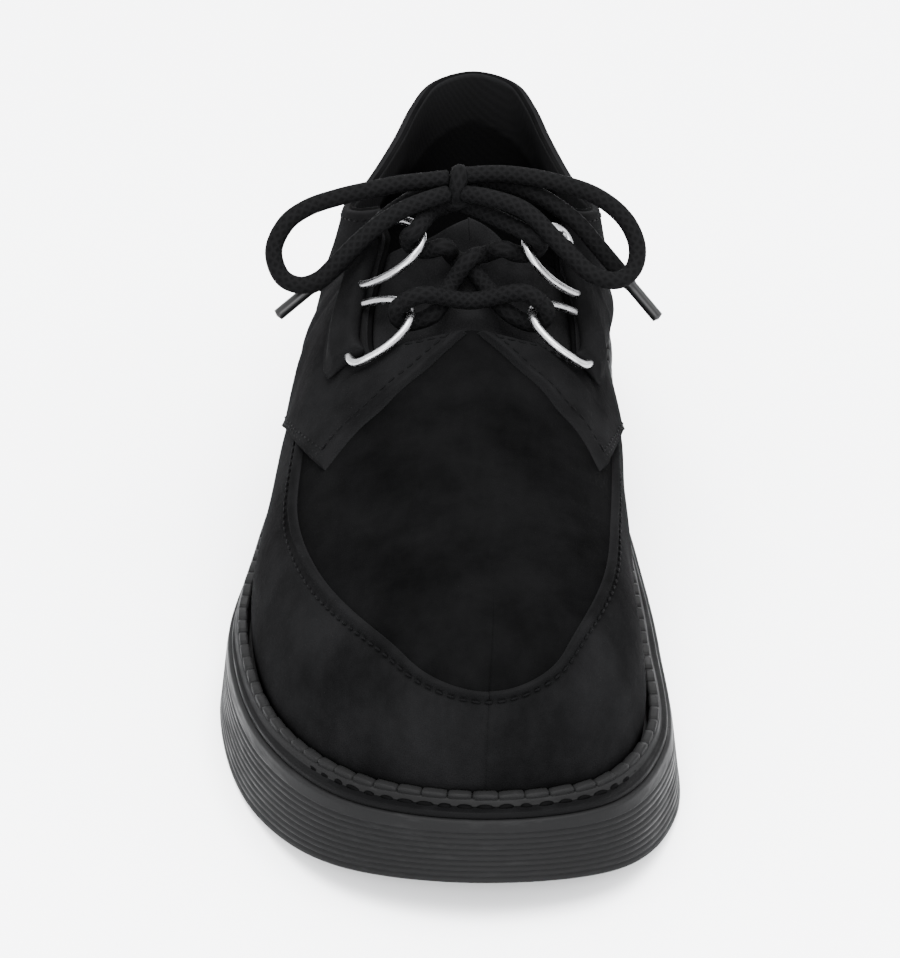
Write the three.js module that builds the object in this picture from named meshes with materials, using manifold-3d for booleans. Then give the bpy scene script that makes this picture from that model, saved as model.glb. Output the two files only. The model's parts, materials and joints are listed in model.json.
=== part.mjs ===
// A black suede derby shoe for the right foot, with a round lace run through steel D-rings.
// Millimetres: X points to the inner side of the foot, Y from the toe to the heel, Z up from the floor.
import * as THREE from "three";
import { mergeVertices } from "three/addons/utils/BufferGeometryUtils.js";
import Module from "manifold-3d";

const wasm = await Module();
wasm.setup();

// Sole
const SOLE_LENGTH = 292;
const BALL_WIDTH = 112;
const TOE_SPRING = 9.5;
const FORE_THICKNESS = 20;
const TOE_THINNING = 4;
const HEEL_THICKNESS = 32;
const SIDE_FLARE = 2.5;
const EDGE_ROUND = 0.8;
const RIB_COUNT = 7;
const RIB_DEPTH = 0.6;
const LIP_SHARE = 0.16;
const ARCH_START = 0.39;
const ARCH_HEIGHT = 9.5;
const HEEL_BREAST = 0.726;
const TREAD_DEPTH = 3;
const TREAD_WIDTH = 4;
const TREAD_BORDER = 9;
const FORE_TREADS = [0.2, 0.245, 0.29, 0.335, 0.38];
const HEEL_TREADS = [0.78, 0.825, 0.87, 0.915];

// Welt and insole
const CLEARANCE = 0.3;
const LEDGE_WIDTH = 10;
const WELT_SETBACK = 1.2;
const WELT_GAP = 0.75;
const WELT_THICKNESS = 1.6;
const BEAD_HEIGHT = 4.3;
const BEAD_WIDTH = 3.2;
const INSOLE_THICKNESS = 3;

// Upper
const INSTEP_RISE = 83;
const BACK_RISE = 60;
const WALL = 1.2;
const MUDGUARD_STEP = 1;
const QUARTER_STEP = 1.8;
const EMBED = 0.8;
const THROAT = 4.1;
const TONGUE_TOP = 4.9;
const FACING_TOP = 5.25;
const HEEL_END = 8;

// Tongue, straps, rings and lace
const TONGUE_THICKNESS = 2.6;
const TONGUE_GAP = 0.55;
const TONGUE_SINK = 6;
const TONGUE_RISE = 5;
const STRAP_SEAT = 0.95;
const STRAP_FOLD = 4.2;
const STRAP_EDGE = 1.3;
const STRAP_WIDTH = 0.14;
const BAR_SEAT = 0.035;
const WIRE = 2.2;
const RING_SPAN = 20;
const RING_REACH = 18;
const LACE = 4.5;
const TIP_WIDTH = 3.1;
const TIP_LENGTH = 12;

// Stations run from the toe tip (0) to the back of the heel (8) along each side of the sole.
// along is a share of the sole's length, the other columns are shares of the ball width,
// ledge is a share of the ledge width, turn is the way that the wall faces, rise a share of its height.
const STATIONS = [
  { station: 0, along: 0, lateral: -0.03, medial: 0.03, lateral_ledge: 1, medial_ledge: 1,
    turn: 0, rise: 0.69, lateral_bulge: 0.027, medial_bulge: 0.027 },
  { station: 1, along: 0.031, lateral: 0.245, medial: 0.29, lateral_ledge: 0.95, medial_ledge: 0.95,
    turn: 48, rise: 0.68, lateral_bulge: 0.027, medial_bulge: 0.027 },
  { station: 2, along: 0.13, lateral: 0.437, medial: 0.415, lateral_ledge: 0.8, medial_ledge: 0.8,
    turn: 80, rise: 0.64, lateral_bulge: 0.027, medial_bulge: 0.027 },
  { station: 3, along: 0.288, lateral: 0.538, medial: 0.415, lateral_ledge: 0.72, medial_ledge: 0.8,
    turn: 90, rise: 0.6, lateral_bulge: 0.022, medial_bulge: 0.025 },
  { station: 4, along: 0.445, lateral: 0.5, medial: 0.38, lateral_ledge: 0.6, medial_ledge: 0.75,
    turn: 90, rise: 0.52, lateral_bulge: 0.055, medial_bulge: 0.075 },
  { station: 5, along: 0.61, lateral: 0.43, medial: 0.325, lateral_ledge: 0.6, medial_ledge: 0.65,
    turn: 90, rise: 0.46, lateral_bulge: 0.1, medial_bulge: 0.08 },
  { station: 6, along: 0.774, lateral: 0.37, medial: 0.345, lateral_ledge: 0.62, medial_ledge: 0.62,
    turn: 92, rise: 0.4, lateral_bulge: 0.05, medial_bulge: 0.04 },
  { station: 7, along: 0.938, lateral: 0.275, medial: 0.275, lateral_ledge: 0.62, medial_ledge: 0.62,
    turn: 130, rise: 0.36, lateral_bulge: 0.035, medial_bulge: 0.035 },
  { station: 8, along: 1, lateral: 0, medial: 0, lateral_ledge: 0.62, medial_ledge: 0.62,
    turn: 180, rise: 0.36, lateral_bulge: 0.04, medial_bulge: 0.04 },
];

// The centre line over the toe and the instep: reach and drop shape the roundness under it.
const RIDGE = [
  { station: 0, along: 0.144, aside: 0.045, height: 0.482, reach: 0.196, drop: 0 },
  { station: 1, along: 0.161, aside: 0.045, height: 0.492, reach: 0.214, drop: 0 },
  { station: 2, along: 0.219, aside: 0.036, height: 0.524, reach: 0.26, drop: 0.01 },
  { station: 3, along: 0.329, aside: 0.018, height: 0.598, reach: 0.29, drop: 0.03 },
  { station: 4, along: 0.449, aside: 0, height: 0.722, reach: 0.27, drop: 0.06 },
  { station: 4.9, along: 0.572, aside: -0.009, height: 0.985, reach: 0.23, drop: 0.1 },
];

// The collar's edge, from the front corner of the facings round the heel.
const COLLAR = [
  { station: 5.25, along: 0.606, lateral: 0.214, medial: 0.214, height: 1.075, flare: 0.035, drop: 0.34 },
  { station: 5.4, along: 0.622, lateral: 0.266, medial: 0.26, height: 1.03, flare: 0.033, drop: 0.34 },
  { station: 5.65, along: 0.662, lateral: 0.29, medial: 0.28, height: 0.965, flare: 0.03, drop: 0.34 },
  { station: 6, along: 0.735, lateral: 0.243, medial: 0.232, height: 0.92, flare: 0.03, drop: 0.34 },
  { station: 6.5, along: 0.825, lateral: 0.183, medial: 0.178, height: 0.935, flare: 0.03, drop: 0.34 },
  { station: 7, along: 0.891, lateral: 0.143, medial: 0.141, height: 0.965, flare: 0.03, drop: 0.34 },
  { station: 7.5, along: 0.939, lateral: 0.095, medial: 0.095, height: 0.988, flare: 0.03, drop: 0.33 },
  { station: 8, along: 0.96, lateral: 0, medial: 0, height: 1, flare: 0.03, drop: 0.32 },
];

// Half of the gap between the facings, as a share of the ball width.
const FACING = [
  { station: 4.1, gap: 0.214 },
  { station: 4.25, gap: 0.23 },
  { station: 4.5, gap: 0.23 },
  { station: 4.75, gap: 0.212 },
  { station: 5.0, gap: 0.197 },
  { station: 5.25, gap: 0.214 },
];

// The apron's edge, as a share of the way from the sole up to the centre line.
const APRON = [
  { station: 0, lateral: 0.465, medial: 0.465 },
  { station: 0.6, lateral: 0.5, medial: 0.52 },
  { station: 1.2, lateral: 0.55, medial: 0.6 },
  { station: 1.85, lateral: 0.525, medial: 0.6 },
  { station: 2.4, lateral: 0.475, medial: 0.555 },
  { station: 3, lateral: 0.433, medial: 0.49 },
  { station: 3.5, lateral: 0.44, medial: 0.45 },
  { station: 4, lateral: 0.44, medial: 0.4 },
];

// The quarter's front: low is its lower edge, top its upper edge, from the wing's tip to the facings' top.
const WING = [
  { low: 3.3, low_share: 0.55, top: 4.08, top_share: 0.985 },
  { low: 3.7, low_share: 0.46, top: 4.08, top_share: 0.86 },
  { low: 4.15, low_share: 0.35, top: 4.12, top_share: 0.74 },
  { low: 4.6, low_share: 0.18, top: 4.5, top_share: 1 },
  { low: 5, low_share: 0.005, top: 4.85, top_share: 1 },
  { low: 5.25, low_share: 0.005, top: 5.25, top_share: 1 },
];

// The rings, by the station of their middle, how far outside the facing's edge their bar lies, as a
// share of the surface, and their slope in degrees.
const RINGS = [
  { name: "ring_lateral_front", side: -1, station: 4.275, inset: 0.045, slope: 23 },
  { name: "ring_lateral_back", side: -1, station: 4.8, inset: 0.02, slope: 32 },
  { name: "ring_medial_front", side: 1, station: 4.31, inset: 0.015, slope: 30 },
  { name: "ring_medial_back", side: 1, station: 4.82, inset: -0.02, slope: 44 },
];

// A ring's shape: across is a share of its span, in a share of its reach from the bar.
const RING_SHAPE = [
  { across: -0.4, in: 0 }, { across: -0.14, in: 0 }, { across: 0.14, in: 0 }, { across: 0.4, in: 0 },
  { across: 0.5, in: 0.09 }, { across: 0.5, in: 0.3 }, { across: 0.42, in: 0.62 }, { across: 0.25, in: 0.88 },
  { across: 0, in: 1 }, { across: -0.25, in: 0.88 }, { across: -0.42, in: 0.62 }, { across: -0.5, in: 0.3 },
  { across: -0.5, in: 0.09 },
];

// The bow, in widths of the lace from the middle of the knot: out to its side, back and up.
const LATERAL_LOOP = [
  { out: 0.45, back: 0, up: 0.6 }, { out: 1.6, back: 0, up: 0.45 }, { out: 3, back: -0.15, up: 0.35 },
  { out: 4.8, back: -0.45, up: 0.1 }, { out: 6.6, back: -0.8, up: -0.2 }, { out: 8.4, back: -1.2, up: -0.7 },
  { out: 9.6, back: -1.8, up: -1.4 }, { out: 10.3, back: -2.5, up: -2.8 }, { out: 9.8, back: -3.2, up: -4.1 },
  { out: 8.8, back: -3.6, up: -4.4 }, { out: 7.7, back: -3.7, up: -4 }, { out: 6.6, back: -3.4, up: -3 },
  { out: 4.8, back: -2.7, up: -1.45 }, { out: 3, back: -2, up: -0.45 }, { out: 1.6, back: -1.5, up: -0.05 },
  { out: 0.5, back: -0.8, up: 0 },
];
const MEDIAL_LOOP = [
  { out: 0.45, back: 0, up: 0.75 }, { out: 1.6, back: 0.05, up: 0.85 }, { out: 3.1, back: 0, up: 0.85 },
  { out: 5.6, back: -0.45, up: 0.6 }, { out: 8, back: -1.1, up: 0 }, { out: 9.6, back: -1.9, up: -1.1 },
  { out: 10.25, back: -2.7, up: -2.4 }, { out: 10, back: -3.5, up: -3.4 }, { out: 9.1, back: -4.1, up: -3.8 },
  { out: 7.7, back: -4.2, up: -3.4 }, { out: 6.2, back: -3.6, up: -2.2 }, { out: 3.9, back: -2.4, up: -0.3 },
  { out: 1.8, back: -1.6, up: 0.15 }, { out: 0.5, back: -0.8, up: 0 },
];
const LATERAL_END = [
  { out: 0.3, back: 0.7, up: -0.3 }, { out: 1.9, back: 0.75, up: -0.7 }, { out: 3.9, back: -0.55, up: -1.5 },
  { out: 5.8, back: -1.8, up: -3 }, { out: 7, back: -2.35, up: -4.05 }, { out: 8, back: -2.6, up: -4.85 },
];
const MEDIAL_END = [
  { out: 0.3, back: 0.75, up: -0.2 }, { out: 2.1, back: 0.95, up: -0.05 }, { out: 4.5, back: -0.1, up: -0.3 },
  { out: 6.65, back: -1.1, up: -1.4 }, { out: 8, back: -1.55, up: -2.8 },
  { out: 9.75, back: -2.2, up: -4.75 },
];

function column(table, name, at, flatStart = false, flatEnd = false) {
  const last = table.length - 1;
  const where = Math.min(Math.max(at, table[0].station), table[last].station);
  let i = 0;
  while (i < last - 1 && where > table[i + 1].station) i += 1;
  const slope = (k) => {
    if ((k === 0 && flatStart) || (k === last && flatEnd)) return 0;
    const before = table[Math.max(k - 1, 0)];
    const after = table[Math.min(k + 1, last)];
    return (after[name] - before[name]) / (after.station - before.station);
  };
  const span = table[i + 1].station - table[i].station;
  const t = (where - table[i].station) / span;
  const t2 = t * t;
  const t3 = t2 * t;
  return (2 * t3 - 3 * t2 + 1) * table[i][name] + (t3 - 2 * t2 + t) * span * slope(i)
    + (3 * t2 - 2 * t3) * table[i + 1][name] + (t3 - t2) * span * slope(i + 1);
}

function sideName(side) {
  return side < 0 ? "lateral" : "medial";
}

// Sole: outline, top and bottom
const soleCurve = new THREE.CatmullRomCurve3([
  ...STATIONS.map((row) => new THREE.Vector3(-row.lateral * BALL_WIDTH, row.along * SOLE_LENGTH, 0)),
  ...STATIONS.slice(1, 8).reverse().map(
    (row) => new THREE.Vector3(row.medial * BALL_WIDTH, row.along * SOLE_LENGTH, 0)),
], true, "centripetal");

function soleEdge(side, station, inset = 0) {
  const loop = (side < 0 ? station : 2 * HEEL_END - station) / (2 * HEEL_END);
  const point = soleCurve.getPoint((loop + 1) % 1);
  const before = soleCurve.getPoint((loop + 0.9994) % 1);
  const after = soleCurve.getPoint((loop + 1.0006) % 1);
  const along = after.sub(before).normalize();
  return new THREE.Vector3(point.x + along.y * inset, point.y - along.x * inset, 0);
}

function toeLift(y) {
  return Math.max(0, 1 - y / SOLE_LENGTH / 0.212) ** 2;
}

function soleBottom(y) {
  return TOE_SPRING * toeLift(y);
}

function soleTop(y) {
  const heel = THREE.MathUtils.smoothstep(y / SOLE_LENGTH, 0.4, 0.82);
  return soleBottom(y) + FORE_THICKNESS - TOE_THINNING * toeLift(y)
    + (HEEL_THICKNESS - FORE_THICKNESS) * heel;
}

// A point on top of the sole, set in from its edge and lifted
function seat(side, station, inset, lift = 0) {
  const point = soleEdge(side, station, inset);
  return point.setZ(soleTop(point.y) + CLEARANCE + lift);
}

function ledgeWidth(side, station) {
  return LEDGE_WIDTH * column(STATIONS, `${sideName(side)}_ledge`, station, true, true);
}

// Upper: each side is a fan of curves from the sole up to the centre line or the collar
function feather(side, station) {
  return seat(side, station, ledgeWidth(side, station));
}

function ridge(station) {
  return new THREE.Vector3(
    column(RIDGE, "aside", station, true) * BALL_WIDTH,
    column(RIDGE, "along", station, true) * SOLE_LENGTH,
    FORE_THICKNESS + column(RIDGE, "height", station, true) * INSTEP_RISE);
}

function collar(side, station) {
  return new THREE.Vector3(
    side * column(COLLAR, sideName(side), station) * BALL_WIDTH,
    column(COLLAR, "along", station, false, true) * SOLE_LENGTH,
    HEEL_THICKNESS + column(COLLAR, "height", station, false, true) * BACK_RISE);
}

function topEdge(side, station) {
  if (station <= TONGUE_TOP) return ridge(station);
  if (station >= FACING_TOP) return collar(side, station);
  const from = ridge(TONGUE_TOP);
  const to = collar(side, FACING_TOP);
  const middle = from.clone().add(to).multiplyScalar(0.5).add(new THREE.Vector3(0, 0, 3));
  const t = (station - TONGUE_TOP) / (FACING_TOP - TONGUE_TOP);
  return from.multiplyScalar((1 - t) ** 2)
    .addScaledVector(middle, 2 * t * (1 - t))
    .addScaledVector(to, t * t);
}

function surface(side, station, share) {
  const foot = feather(side, station);
  const top = topEdge(side, station);
  const turn = THREE.MathUtils.degToRad(column(STATIONS, "turn", station));
  const out = new THREE.Vector3(side * Math.sin(turn), -Math.cos(turn), 0);
  const height = top.z - foot.z;
  const bulge = column(STATIONS, `${sideName(side)}_bulge`, station) * BALL_WIDTH;
  const low = foot.clone().addScaledVector(out, bulge);
  low.z += column(STATIONS, "rise", station) * height;
  const open = THREE.MathUtils.smoothstep(station, TONGUE_TOP - 0.1, FACING_TOP + 0.15);
  const reach = column(RIDGE, "reach", station, true) * (1 - open) + column(COLLAR, "flare", station) * open;
  const drop = column(RIDGE, "drop", station, true) * (1 - open) + column(COLLAR, "drop", station) * open;
  const high = top.clone().addScaledVector(out, reach * BALL_WIDTH);
  high.z -= drop * height;
  return new THREE.CubicBezierCurve3(foot, low, high, top).getPoint(share);
}

// The same surface carried on past its centre lines
function carried(side, station, share) {
  if (station < 0) return carried(-side, -station, share);
  if (station > HEEL_END) return carried(-side, 2 * HEEL_END - station, share);
  if (share > 1 && station <= TONGUE_TOP) return surface(-side, station, 2 - share);
  return surface(side, station, THREE.MathUtils.clamp(share, 0, 1));
}

function outward(side, station, share) {
  const step = 0.02;
  const along = carried(side, station + step, share).sub(carried(side, station - step, share));
  const up = carried(side, station, share + step).sub(carried(side, station, share - step));
  const normal = along.cross(up).multiplyScalar(side);
  if (normal.length() > 1e-4) return normal.normalize();
  return outward(-1, 0.5, share).add(outward(1, 0.5, share)).normalize();
}

function layer(side, station, share, offset) {
  const point = surface(side, station, share).addScaledVector(outward(side, station, share), offset);
  if (share < 0.05) point.z = Math.max(point.z, feather(side, station).z);
  if (share === 0) point.z = feather(side, station).z;
  return point;
}

function facing(side, station) {
  if (station >= FACING_TOP) return 1;
  const gap = column(FACING, "gap", station) * BALL_WIDTH;
  let low = 0.3;
  let high = 1;
  for (let i = 0; i < 40; i += 1) {
    const middle = (low + high) / 2;
    if (side * surface(side, station, middle).x > gap) low = middle;
    else high = middle;
  }
  return high;
}

function apron(side, station) {
  return column(APRON, sideName(side), station, true);
}

// Solids
function mesh(points, faces) {
  const geometry = new THREE.BufferGeometry().setFromPoints(points);
  geometry.setIndex(faces.flat());
  return geometry;
}

function solid(geometry) {
  const bare = new THREE.BufferGeometry();
  bare.setAttribute("position", geometry.getAttribute("position"));
  if (geometry.index) bare.setIndex(geometry.index);
  const merged = mergeVertices(bare, 1e-3);
  const spots = merged.getAttribute("position");
  const index = merged.index.array;
  const corner = (k) => new THREE.Vector3().fromBufferAttribute(spots, index[k]);
  const kept = [];
  let volume = 0;
  for (let k = 0; k < index.length; k += 3) {
    if (index[k] === index[k + 1] || index[k + 1] === index[k + 2] || index[k] === index[k + 2]) continue;
    kept.push([index[k], index[k + 1], index[k + 2]]);
    volume += corner(k).dot(corner(k + 1).cross(corner(k + 2)));
  }
  const faces = volume < 0 ? kept.map(([a, b, c]) => [a, c, b]) : kept;
  return new wasm.Manifold(new wasm.Mesh({
    numProp: 3,
    vertProperties: new Float32Array(spots.array),
    triVerts: new Uint32Array(faces.flat()),
  }));
}

function geometryOf(body) {
  const result = body.getMesh();
  const geometry = new THREE.BufferGeometry();
  geometry.setAttribute("position", new THREE.BufferAttribute(new Float32Array(result.vertProperties), 3));
  geometry.setIndex(Array.from(result.triVerts));
  return geometry;
}

// A sheet of the upper's surface, thickened into a wall; the two sides share their centre lines
class Sheet {
  constructor(ridgeEnd = TONGUE_TOP) {
    this.ridgeEnd = ridgeEnd;
    this.spots = [];
    this.known = new Map();
    this.faces = [];
  }

  spot(side, station, share) {
    const shared = station === 0 || station === HEEL_END || (share === 1 && station <= this.ridgeEnd);
    const key = `${shared ? 0 : side} ${station.toFixed(4)} ${share.toFixed(4)}`;
    if (!this.known.has(key)) {
      this.known.set(key, this.spots.length);
      this.spots.push({ side, station, share });
    }
    return this.known.get(key);
  }

  patch(side, columns, rows, place) {
    const at = (i, j) => this.spot(side, ...place(i, j));
    for (let i = 0; i < columns; i += 1) {
      for (let j = 0; j < rows; j += 1) {
        const [a, b, c, d] = [at(i, j), at(i + 1, j), at(i + 1, j + 1), at(i, j + 1)];
        const pair = side > 0 ? [[a, b, c], [a, c, d]] : [[a, c, b], [a, d, c]];
        this.faces.push(...pair.filter(([p, q, r]) => p !== q && q !== r && p !== r));
      }
    }
  }

  thicken(outer, inner, place = layer) {
    const count = this.spots.length;
    const depth = (offset, spot) => (typeof offset === "function" ? offset(spot) : offset);
    const put = (offset) => this.spots.map(
      (spot) => place(spot.side, spot.station, spot.share, depth(offset, spot)));
    const edges = new Set(this.faces.flatMap(([a, b, c]) => [`${a} ${b}`, `${b} ${c}`, `${c} ${a}`]));
    const faces = [...this.faces];
    for (const [a, b, c] of this.faces) {
      faces.push([a + count, c + count, b + count]);
      for (const [p, q] of [[a, b], [b, c], [c, a]]) {
        if (!edges.has(`${q} ${p}`)) faces.push([q, p, p + count], [q, p + count, q + count]);
      }
    }
    return mesh([...put(outer), ...put(inner)], faces);
  }
}

// A stack of closed rings from top to bottom, with a strip across the first and the last
function stack(rings) {
  const count = rings[0].length;
  const points = rings.flat();
  const faces = [];
  for (let r = 0; r + 1 < rings.length; r += 1) {
    for (let i = 0; i < count; i += 1) {
      const a = r * count + i;
      const b = r * count + ((i + 1) % count);
      faces.push([a, b, b + count], [a, b + count, a + count]);
    }
  }
  const last = (rings.length - 1) * count;
  for (let i = 0; i < count / 2; i += 1) {
    const left = i;
    const leftNext = i + 1;
    const right = (count - i) % count;
    const rightNext = count - i - 1;
    faces.push([left, right, rightNext], [left, rightNext, leftNext]);
    faces.push([last + left, last + rightNext, last + right]);
    faces.push([last + left, last + leftNext, last + rightNext]);
  }
  return mesh(points, faces.filter(([a, b, c]) => a !== b && b !== c && a !== c));
}

// One place for each quarter station round the sole: down the lateral side, back up the medial side
const SPOTS = [
  0, 0.25, 0.5, 0.75, 1, 1.25, 1.5, 1.75, 2, 2.5, 3, 3.5,
  4, 4.5, 5, 5.5, 6, 6.5, 7, 7.25, 7.5, 7.75, HEEL_END];
const AROUND = [
  ...SPOTS.map((station) => ({ side: -1, station })),
  ...SPOTS.slice(1, -1).reverse().map((station) => ({ side: 1, station })),
];

// Outsole
function soleRing(share, out) {
  return AROUND.map(({ side, station }) => {
    const point = soleEdge(side, station, -out);
    point.z = THREE.MathUtils.lerp(soleTop(point.y), soleBottom(point.y), share);
    return point;
  });
}

function outsoleBlock() {
  const rings = [soleRing(0, -EDGE_ROUND), soleRing(0.05, 0), soleRing(LIP_SHARE, SIDE_FLARE * LIP_SHARE)];
  const pitch = (0.95 - LIP_SHARE) / RIB_COUNT;
  for (let k = 0; k < RIB_COUNT; k += 1) {
    const valley = LIP_SHARE + pitch * (k + 0.5);
    const crest = LIP_SHARE + pitch * (k + 1);
    rings.push(soleRing(valley, SIDE_FLARE * valley - RIB_DEPTH));
    rings.push(soleRing(crest, SIDE_FLARE * crest));
  }
  rings.push(soleRing(1, SIDE_FLARE - EDGE_ROUND));
  return solid(stack(rings));
}

function archCutter() {
  const start = ARCH_START * SOLE_LENGTH;
  const breast = HEEL_BREAST * SOLE_LENGTH;
  const shape = new THREE.Shape();
  shape.moveTo(start, -1);
  shape.lineTo(start, 0);
  shape.bezierCurveTo(start + 18, 0, start + 22, ARCH_HEIGHT, start + 60, ARCH_HEIGHT);
  shape.lineTo(breast - 3, ARCH_HEIGHT);
  shape.lineTo(breast, ARCH_HEIGHT - 3);
  shape.lineTo(breast, -1);
  const across = { depth: 2 * BALL_WIDTH, bevelEnabled: false, curveSegments: 10 };
  const prism = new THREE.ExtrudeGeometry(shape, across);
  prism.applyMatrix4(new THREE.Matrix4().makeBasis(
    new THREE.Vector3(0, 1, 0), new THREE.Vector3(0, 0, 1), new THREE.Vector3(1, 0, 0)));
  prism.translate(-BALL_WIDTH, 0, 0);
  return solid(prism);
}

// How far the sole reaches to one side at a distance from the toe
function soleReach(side, y) {
  let low = 0;
  let high = HEEL_END;
  for (let i = 0; i < 30; i += 1) {
    const middle = (low + high) / 2;
    if (soleEdge(side, middle).y < y) low = middle;
    else high = middle;
  }
  return Math.abs(soleEdge(side, low).x);
}

function treadCutters() {
  return [...FORE_TREADS, ...HEEL_TREADS].map((share) => {
    const y = share * SOLE_LENGTH;
    const left = -soleReach(-1, y) + TREAD_BORDER;
    const right = soleReach(1, y) - TREAD_BORDER;
    const box = new THREE.BoxGeometry(right - left, TREAD_WIDTH, 2 * TREAD_DEPTH);
    box.translate((left + right) / 2, y, soleBottom(y));
    return solid(box);
  });
}

let outsole = outsoleBlock().subtract(archCutter());
for (const cutter of treadCutters()) outsole = outsole.subtract(cutter);

// Welt: a flat ledge on the sole and a raised bead against the upper
function wallAt(side, station, height, out) {
  const back = THREE.MathUtils.smoothstep(station, 4.3, 4.7);
  const step = THREE.MathUtils.lerp(MUDGUARD_STEP, QUARTER_STEP, back);
  const foot = feather(side, station).z;
  let share = 0;
  while (layer(side, station, share, step).z < foot + height) share += 0.002;
  const point = layer(side, station, share, step);
  const flat = outward(side, station, share).setZ(0).normalize();
  point.addScaledVector(flat, WELT_GAP + out);
  return point.setZ(soleTop(point.y) + CLEARANCE + height);
}

function weltBody() {
  const sections = AROUND.map(({ side, station }) => {
    return [
      seat(side, station, WELT_SETBACK),
      seat(side, station, WELT_SETBACK, WELT_THICKNESS),
      wallAt(side, station, WELT_THICKNESS, BEAD_WIDTH),
      wallAt(side, station, BEAD_HEIGHT - 0.8, BEAD_WIDTH - 0.3),
      wallAt(side, station, BEAD_HEIGHT, BEAD_WIDTH - 1.2),
      wallAt(side, station, BEAD_HEIGHT, 0.4),
      wallAt(side, station, 0, 0),
    ];
  });
  const rows = sections[0].length;
  const faces = [];
  sections.forEach((section, i) => {
    const next = (i + 1) % sections.length;
    section.forEach((point, r) => {
      const [a, b] = [i * rows + r, i * rows + ((r + 1) % rows)];
      const [c, d] = [next * rows + ((r + 1) % rows), next * rows + r];
      faces.push([a, b, c], [a, c, d]);
    });
  });
  return solid(mesh(sections.flat(), faces));
}

// Insole
function insoleBody() {
  const ring = (inset, lift) => AROUND.map(({ side, station }) => (
    seat(side, station, ledgeWidth(side, station) + WALL + CLEARANCE + inset, lift)));
  return solid(stack([ring(1.2, INSOLE_THICKNESS), ring(0.3, INSOLE_THICKNESS - 1), ring(0.3, 0)]));
}

// Upper: a hollow wall, with the mudguard and the quarters raised on it
const FRONT_STATIONS = [...SPOTS.filter((station) => station < THROAT), THROAT];
const BACK_STATIONS = [
  THROAT, 4.3, 4.5, 4.7, 4.9, 5.08, FACING_TOP, 5.35, 5.5, 5.65, 5.83,
  ...SPOTS.filter((station) => station > 5.9)];
const LOW_SHARES = [0, 0.08, 0.22, 0.38, 0.54, 0.7, 0.85, 1];
const HIGH_SHARES = [0, 0.25, 0.5, 0.75, 1];

function upperBody() {
  const wall = new Sheet();
  const mudguard = new Sheet();
  const quarter = new Sheet();
  for (const side of [-1, 1]) {
    const knee = facing(side, THROAT);
    const edge = (station) => (station <= THROAT ? knee : facing(side, station));
    const stations = [...FRONT_STATIONS, ...BACK_STATIONS.slice(1)];
    wall.patch(side, stations.length - 1, LOW_SHARES.length - 1,
      (i, j) => [stations[i], LOW_SHARES[j] * edge(stations[i])]);
    wall.patch(side, FRONT_STATIONS.length - 1, HIGH_SHARES.length - 1,
      (i, j) => [FRONT_STATIONS[i], knee + (1 - knee) * HIGH_SHARES[j]]);
    mudguard.patch(side, 19, 6, (i, j) => {
      const station = (i / 19) * THREE.MathUtils.lerp(5.25, 3.95, j / 6);
      return [station, THREE.MathUtils.lerp(0.005, apron(side, (i / 19) * 3.95), j / 6)];
    });
    quarter.patch(side, 10, 8, (i, j) => quarterSpot(side, i / 10, j / 8));
    const rear = BACK_STATIONS.slice(BACK_STATIONS.indexOf(FACING_TOP));
    quarter.patch(side, rear.length - 1, 8, (i, j) => [rear[i], THREE.MathUtils.lerp(0.005, 0.99, j / 8)]);
  }
  return solid(wall.thicken(0, -WALL))
    .add(solid(mudguard.thicken(MUDGUARD_STEP, -EMBED)))
    .add(solid(quarter.thicken(QUARTER_STEP, -EMBED)));
}

function quarterSpot(side, part, t) {
  const at = part * (WING.length - 1);
  const k = Math.min(Math.floor(at), WING.length - 2);
  const mix = (name) => THREE.MathUtils.lerp(WING[k][name], WING[k + 1][name], at - k);
  const top = mix("top");
  const topShare = Math.min(mix("top_share"), top < THROAT ? 1 : facing(side, top) - 0.01);
  return [THREE.MathUtils.lerp(mix("low"), top, t), THREE.MathUtils.lerp(mix("low_share"), topShare, t)];
}

// Tongue: under the facings from below the throat, with its top a little above them
const TONGUE_STATIONS = [3.8, 3.95, THROAT, 4.3, 4.5, 4.7, TONGUE_TOP, 5, 5.1];

function tongueDepth(side, station, share) {
  const edge = facing(side, THREE.MathUtils.clamp(station, THROAT, TONGUE_TOP));
  return WALL + TONGUE_GAP + TONGUE_SINK * THREE.MathUtils.smoothstep(share, edge - 0.02, edge + 0.12);
}

function tongueBody() {
  const sheet = new Sheet(HEEL_END);
  for (const side of [-1, 1]) {
    sheet.patch(side, TONGUE_STATIONS.length - 1, 5, (i, j) => {
      const station = TONGUE_STATIONS[i];
      const under = THREE.MathUtils.clamp(station, THROAT, TONGUE_TOP);
      return [station, THREE.MathUtils.lerp(facing(side, under) - 0.12, 1, j / 5)];
    });
  }
  const lean = ridge(TONGUE_TOP).sub(ridge(TONGUE_TOP - 0.2)).normalize();
  const place = (side, station, share, offset) => {
    const past = Math.max(station - TONGUE_TOP, 0) / 0.2;
    const round = 0.25 + 0.75 * THREE.MathUtils.smoothstep(share, 0.75, 1);
    const depth = tongueDepth(side, station, share);
    return layer(side, Math.min(station, TONGUE_TOP), share, offset - depth)
      .addScaledVector(lean, TONGUE_RISE * past * round);
  };
  return solid(sheet.thicken(0, -TONGUE_THICKNESS, place));
}

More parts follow.
